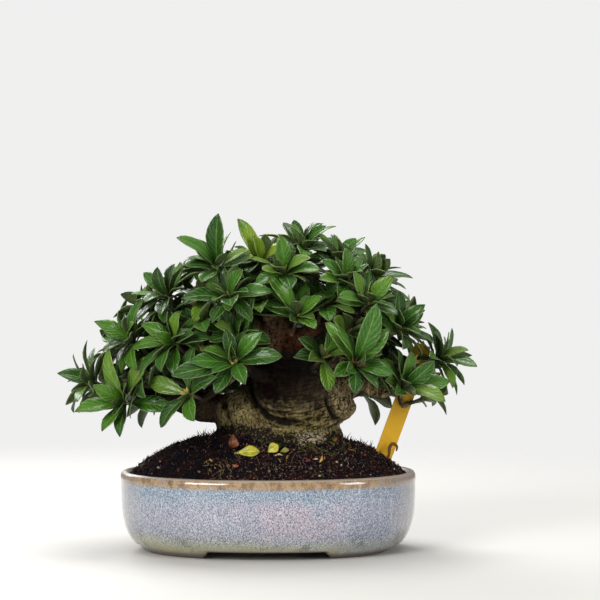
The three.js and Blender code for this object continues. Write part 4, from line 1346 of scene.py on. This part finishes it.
def hasRoom(part):  # inside the frame's box, and not in front of the trunk
    low, high = Vector(cadLow) / mm, Vector(cadHigh) / mm
    for share in (0, 0.5, 1):
        spot = part['base'].lerp(part['tip'], share)
        if any(spot.y < 8 and left < spot.x < right and spot.z < top for left, right, top in openFront):
            return False
    lowest = next(z for x, z in underside if part['tip'].x > x)
    return part['tip'].z > lowest and all(low[i] + 1.5 < part['tip'][i] < high[i] - 1.5 for i in range(3))


def addLeavesBetween():
    draw = seeded(500)
    for members, kinds in ((group, whorls['outer']), (innerGroup, whorls['inner'])):
        wishes = []
        for _, shoot in members:
            leaves = [part for kind in kinds for part in whorl(shoot, draw, *kind)]
            wishes.append([part for part in leaves if hasRoom(part)])
        placeInTurn(members, wishes)


taken = [shoot['at'] for shoot in shoots]
innerShoots = []
for shape in inside:
    for hub in domeHubs(shape, taken):
        innerShoots.append(startShoot(hub, [], f'inner{len(innerShoots) + 1:02d}'))
innerGroup = list(enumerate(innerShoots, len(shoots)))
obstacles += [(owner, stemProxy(shoot)) for owner, shoot in innerGroup]
addLeavesBetween()
innerShoots = [shoot for shoot in innerShoots if len(shoot['leaves']) > 2]
leafCount = sum(len(shoot['leaves']) for shoot in shoots + innerShoots)
print('leaves in all:', leafCount, 'inner shoots:', len(innerShoots))

makeWood()
print('tree wood made')


def addLeaf(bm, marks, part, tint, age, phase, across=blade['across'], rows=blade['along']):
    along, normal, side, length = leafFrame(part)
    rise, (blunt, sharp) = blade['rise'], blade['fall']
    fall = blunt + (sharp - blunt) * phase / 6
    peak = (rise / (rise + fall)) ** rise * (fall / (rise + fall)) ** fall
    made = bmesh.ops.create_grid(bm, x_segments=across, y_segments=rows, size=1, calc_uvs=True)['verts']
    faces = list(dict.fromkeys(face for corner in made for face in corner.link_faces))
    for corner in made:
        edge, t = corner.co.x, 1 - ((1 - corner.co.y) / 2) ** blade['spread']
        half = part['width'] / 2 * t ** rise * (1 - t) ** fall / peak
        half = max(half, blade['stalkHalf'] * min(1, (1 - t) * 8))
        lift = part['arch'] * length * 4 * t * (1 - t)
        lift += part['fold'] * half * (sqrt(edge * edge + blade['keel'] ** 2) - blade['keel'])
        lift += blade['wave'] * half * edge * edge * sin(t * 11 + phase + (1.7 if edge > 0 else 0))
        corner.co = part['base'] + along * t * length + normal * lift + side * half * edge
    for item in [*faces, *made]:
        item.normal_update()
    solid = bmesh.ops.solidify(bm, geom=faces, thickness=blade['wall'])['geom']
    under = [item for item in solid if isinstance(item, bmesh.types.BMFace)]
    known = {*faces, *under}
    around = dict.fromkeys(other for face in faces for edge in face.edges for other in edge.link_faces)
    rim = [face for face in around if face not in known]
    for shown, upper in ((faces, 1), (under, 0), (rim, 0.5)):
        markFaces(shown, marks, (tint, upper, age, 1))
    ends = list(dict.fromkeys(corner for face in [*faces, *under, *rim] for corner in face.verts))
    bmesh.ops.remove_doubles(bm, verts=ends, dist=blade['weld'])


bud = {'share': 0.9, 'fewest': 4, 'most': 7, 'length': (3.0, 6.0), 'radius': 1.0, 'splay': 0.8}
tuft = {
    'shoots': ('leafy_shoot_10', 'leafy_shoot_11'), 'count': 22, 'length': (5, 9), 'radius': 1.1, 'splay': 0.9,
}


def addBuds(bm, marks, shoot, draw):  # yellowish scales and buds round the middle of a rosette
    brown = shoot['name'] in tuft['shoots']
    if draw() > bud['share'] and not brown:
        return
    axis = shoot['axis']
    look = tuft if brown else bud
    count = tuft['count'] if brown else bud['fewest'] + int(draw() * (bud['most'] - bud['fewest'] + 1))
    for k in range(count):
        angle = 2 * pi * (k + draw() * 0.6) / count
        out = (aside(shoot, angle) * look['splay'] * (0.4 + draw()) + axis).normalized()
        foot = shoot['at'] + 0.9 * axis + out * 0.6
        length = ranged(look['length'], draw())
        bend = ((0, 0), (0.45, 0), (0.8, 0.3), (1, 0.8))
        path = [foot + out * length * far + axis * lift for far, lift in bend]
        radius = look['radius'] * (0.7 + 0.5 * draw())
        tone = 1 if brown else 0.8 * draw()
        addThread(bm, marks, path, [radius * 0.7, radius, radius * 0.7, 0.12], (tone, 1, 1), 5, 1)


def addStem(bm, marks, shoot):  # brown at its foot and green at its tip
    at, axis, foot = shoot['at'], shoot['axis'], shoot['foot']
    path = [foot - 1.5 * axis, foot + 4 * axis, at, at + 2.2 * axis, at + 4.6 * axis]
    before = len(bm.faces)
    tube(bm, path, [1.3, 1.25, 1.7, 1.5, 0.5], 8)
    for face in facesFrom(bm, before):
        face.material_index = 1
        for loop in face.loops:
            share = (loop.vert.co - foot).dot(axis) / (at - foot).length
            loop[marks] = (0, clamp(share), 0, 1)


def leafMesh():
    bm = bmesh.new()
    marks = bm.loops.layers.float_color.new('leafMarks')
    bm.loops.layers.uv.verify()  # for the places on each blade
    return bm, marks


def makeFoliage():
    leafLooks = [leafPaint(), stemPaint()]
    draw = seeded(900)
    for shoot in shoots + innerShoots:
        bm, marks = leafMesh()
        for part in shoot['leaves']:
            length = (part['tip'] - part['base']).length
            age = 0.85 if part['rows'] == 2 else max(0.4 * draw() * (length < 19), 7 * draw() - 6.3)
            addLeaf(bm, marks, part, draw(), age, draw() * 6)
        addStem(bm, marks, shoot)
        addBuds(bm, marks, shoot, draw)
        number = shoot['name'][-2:]
        if shoot['name'].startswith('leafy'):
            makePiece(f'shootFoliage{number}', bm, leafLooks, [shoot['name']])
        else:
            makePiece(f'innerFoliage{number}', bm, leafLooks)


def leafPaint():
    paint = Paint('glossyLeaf', Coat_Weight=0.25, Coat_Roughness=0.08, IOR=1.45, Specular_IOR_Level=0.34)
    spot = paint.place()
    tint, upper, age = paint.channels('leafMarks')
    across = paint.node('ShaderNodeUVMap', {}, {})
    edge = abs(paint.apart(across, 'X') * 2 - 1)
    t = 1 - (1 - paint.apart(across, 'Y')) ** blade['spread']
    drift = paint.noise(spot, 14, detail=2)
    mottled = paint.noise(spot, 2.2)
    # Side veins leave the midrib and bend towards the tip
    vein = ((t - edge * 0.31) * 7.5).pingPong(0.5)
    onVein = paint.rise(vein, 0.13, 0.03) * paint.rise(edge, 0.98, 0.7)
    between = paint.rise(vein, 0.26, 0.46) * paint.rise(edge, 0.1, 0.4)
    rib = paint.rise(edge, 0.11, 0.03) * paint.rise(t, 1.0, 0.85)
    youngGreen = paint.mix(rib * 0.5, (0.16, 0.26, 0.035), (0.30, 0.38, 0.12))
    bright = paint.distance(paint.stretched(spot, 1, 0.4, 1), (-3, -10, 203))
    bright = paint.rise(bright + (drift - 0.5) * 10, 17, 11)
    tipped = paint.rise(t, 0.945, 0.985) * paint.rise(tint, 0.66, 0.72)
    green = paint.ramp(tint * 0.72 + drift * 0.28, [
        (0.10, (0.004, 0.027, 0.003)), (0.34, (0.011, 0.064, 0.004)), (0.58, (0.030, 0.127, 0.006)),
        (0.76, (0.068, 0.192, 0.011)), (0.92, (0.145, 0.268, 0.022)),
    ])
    green = paint.cover(
        green, (paint.rise(mottled, 0.45, 0.7) * 0.25, (0.09, 0.19, 0.022)),
        (paint.rise(mottled, 0.48, 0.30) * 0.45, (0.010, 0.040, 0.005)), (onVein * 0.30, (0.16, 0.29, 0.05)),
        (between * 0.24, (0.010, 0.046, 0.004)), (rib * 0.55, (0.20, 0.32, 0.07)),
        # Painted light: a pale line along each leaf's edge stands in for light from behind
        (paint.rise(edge, 0.90, 0.97) * 0.5, (0.26, 0.34, 0.12)), (age, youngGreen),
        (bright * 0.55, (0.30, 0.42, 0.03)), (tipped * 0.8, (0.09, 0.045, 0.018)))
    under = paint.mix(tint, (0.055, 0.092, 0.026), (0.10, 0.145, 0.045))
    under = paint.mix(rib * 0.5 + onVein * 0.2, under, (0.20, 0.26, 0.09))
    colour = paint.mix(paint.rise(upper, 0.3, 0.7), under, green)
    paint.feed(Base_Color=colour, Roughness=0.66 - upper * 0.38 + mottled * 0.16)
    quilted = between * 0.7 - onVein * 0.5 - rib * 0.9 + mottled * 0.6
    paint.feed(Normal=paint.bump(quilted, 0.5, 1.0))
    return paint.material


def stemPaint():
    paint = Paint('greenStem', Roughness=0.6)
    fine = paint.noise(paint.place(), 1.4)
    tone, along, onScale = paint.channels('leafMarks')
    colour = paint.ramp(along + (fine - 0.5) * 0.3, [
        (0.25, (0.030, 0.021, 0.013)), (0.55, (0.060, 0.050, 0.021)), (0.85, (0.085, 0.115, 0.030)),
        (1.0, (0.15, 0.19, 0.05)),
    ])
    scales = paint.ramp(tone, [
        (0.0, (0.30, 0.29, 0.05)), (0.35, (0.44, 0.38, 0.08)), (0.6, (0.42, 0.29, 0.08)),
        (0.8, (0.24, 0.30, 0.06)), (1.0, (0.085, 0.050, 0.018)),
    ])
    colour = paint.cover(colour, (paint.rise(fine, 0.5, 0.36) * 0.6, (0.022, 0.015, 0.010)), (onScale, scales))
    paint.feed(Base_Color=colour, Normal=paint.bump(fine, 0.3, 0.8))
    return paint.material


makeFoliage()
print('foliage made')


# Stick label and drain screens

label = {
    'width': 12, 'thickness': 0.9, 'length': 100, 'buried': 27, 'lean': 20, 'turn': 12,
    'foot': Vector((78, 3, 66)), 'point': 12, 'bow': 0.8,
}


def makeLabel():
    bm = bmesh.new()
    made = bmesh.ops.create_grid(bm, x_segments=6, y_segments=26, size=1)['verts']
    for corner in made:
        along = (corner.co.y + 1) / 2 * label['length']
        half = label['width'] / 2 * min(1, 0.08 + along / label['point'])
        half -= 1.2 * max(0, (along - label['length'] + 1.5) / 1.5)
        corner.co = (corner.co.x * half, along, label['thickness'] / 2)
    bmesh.ops.solidify(bm, geom=bm.faces[:], thickness=label['thickness'])
    for corner in bm.verts:
        share = corner.co.y / label['length']
        corner.co.z += label['bow'] * (4 * share * (1 - share) - 0.7) * share
    place = Matrix.Translation(label['foot']) @ Matrix.Rotation(radians(label['lean']), 4, 'Y')
    place = place @ Matrix.Rotation(radians(label['turn']), 4, 'Z') @ Matrix.Rotation(radians(90), 4, 'X')
    place = place @ Matrix.Translation((0, -label['buried'], 0))
    bmesh.ops.transform(bm, matrix=place, verts=bm.verts)
    bmesh.ops.recalc_face_normals(bm, faces=bm.faces)
    body = makePiece('stickLabel', bm, [labelPaint()], ['plant_label'])
    body.data.polygons.foreach_set('use_smooth', [False] * len(body.data.polygons))


def labelPaint():
    paint = Paint('yellowPlastic', Roughness=0.45, Specular_IOR_Level=0.25)
    spot = paint.place()
    drift = paint.noise(spot, 16, detail=2)
    colour = paint.mix(drift, (0.57, 0.325, 0.012), (0.47, 0.26, 0.010))
    dirt = paint.patchy(spot, 2.2, 0.56, 0.70, detail=4, rough=0.7)
    low = paint.rise(paint.apart(spot, 'Z') + (drift - 0.5) * 14, 82, 64)
    colour = paint.mix(dirt * (0.12 + low * 0.6), colour, (0.10, 0.06, 0.025))
    scratch = paint.noise(paint.stretched(spot, 2.4, 2.4, 0.25), 1.1)
    paint.feed(Base_Color=colour, Roughness=0.34 + scratch * 0.2)
    paint.feed(Normal=paint.bump(scratch, 0.05, 0.6))
    return paint.material


def screenPaint():
    paint = Paint('blackMesh', Roughness=0.5)
    drift = paint.noise(paint.place(), 3)
    paint.feed(Base_Color=paint.mix(drift, (0.012, 0.012, 0.013), (0.03, 0.027, 0.024)))
    paint.feed(Normal=paint.bump(drift, 0.1, 0.6))
    return paint.material


makeLabel()
for side in ('left', 'right'):
    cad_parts[f'drain_screen_{side}'].material_slots[0].material = screenPaint()
print('label and screens made')


# Fallen leaves

fallen = {  # node: blades as base, tip, face, width and arch, with Z from the soil, and the piece's name
    'fallen_leaf_left': (
        [((-19.5, -42.5, 0.4), (-4.8, -43.4, 1.4), (0.05, -0.85, 0.5), 7.6, 0.1)], 'yellowLeafLeft'),
    'fallen_leaf_right': ([
        ((0.4, -42, 0.2), (7.0, -41.4, 4.8), (0.1, -0.9, 0.4), 6.8, 0.1),
        ((8.4, -41.6, 1.0), (14.0, -43.2, 2.2), (0.1, -0.8, 0.6), 3.6, 0.2)], 'yellowLeafRight'),
    'dry_leaf': ([((-24.6, -35, 0.0), (-22.2, -36.4, 9.2), (0.35, -1, 0.1), 6.0, 0.4)], 'dryLeaf'),
}


def makeFallen():
    for node, (blades, name) in fallen.items():
        dry = node == 'dry_leaf'
        bm, marks = leafMesh()
        for base, tip, face, width, arch in blades:
            base, tip = Vector(base), Vector(tip)
            middle = (base + tip) / 2
            rest = soilHeight(middle.x, middle.y, False) * up
            part = {
                'base': base + rest, 'tip': tip + rest, 'face': Vector(face).normalized(), 'width': width,
                'arch': arch, 'fold': 1.4 if dry else 0.2,
            }
            addLeaf(bm, marks, part, 1 if width > 5 else 0, 0, 1, across=6, rows=12)
        makePiece(name, bm, [fallenPaint(name, dry)], [node])


def fallenPaint(name, dry):
    paint = Paint(name, Roughness=0.45)
    shown = paint.channels('leafMarks')[0]
    across = paint.node('ShaderNodeUVMap', {}, {})
    edge = abs(paint.apart(across, 'X') * 2 - 1)
    drift = paint.noise(paint.place(), 2.4)
    vein = ((paint.apart(across, 'Y') - edge * 0.25) * 6).pingPong(0.5)
    first, second, rib = (0.44, 0.38, 0.018), (0.22, 0.235, 0.016), (0.58, 0.50, 0.11)
    if dry:
        first, second, rib = (0.22, 0.055, 0.015), (0.035, 0.012, 0.008), (0.42, 0.18, 0.065)
    colour = paint.cover(
        paint.mix(paint.rise(drift, 0.35, 0.65), first, second),
        (paint.rise(vein, 0.12, 0.03) * 0.4, (0.16, 0.14, 0.02)), (paint.rise(edge, 0.12, 0.04) * 0.7, rib),
        (paint.rise(drift, 0.62, 0.7) * 0.4, (0.10, 0.06, 0.02)), ((1 - shown) * 0.7, (0.10, 0.10, 0.03)))
    paint.feed(Base_Color=colour, Normal=paint.bump(drift, 0.3, 0.8))
    return paint.material


makeFallen()
print('fallen leaves made')

makeLights()
makeFloor()
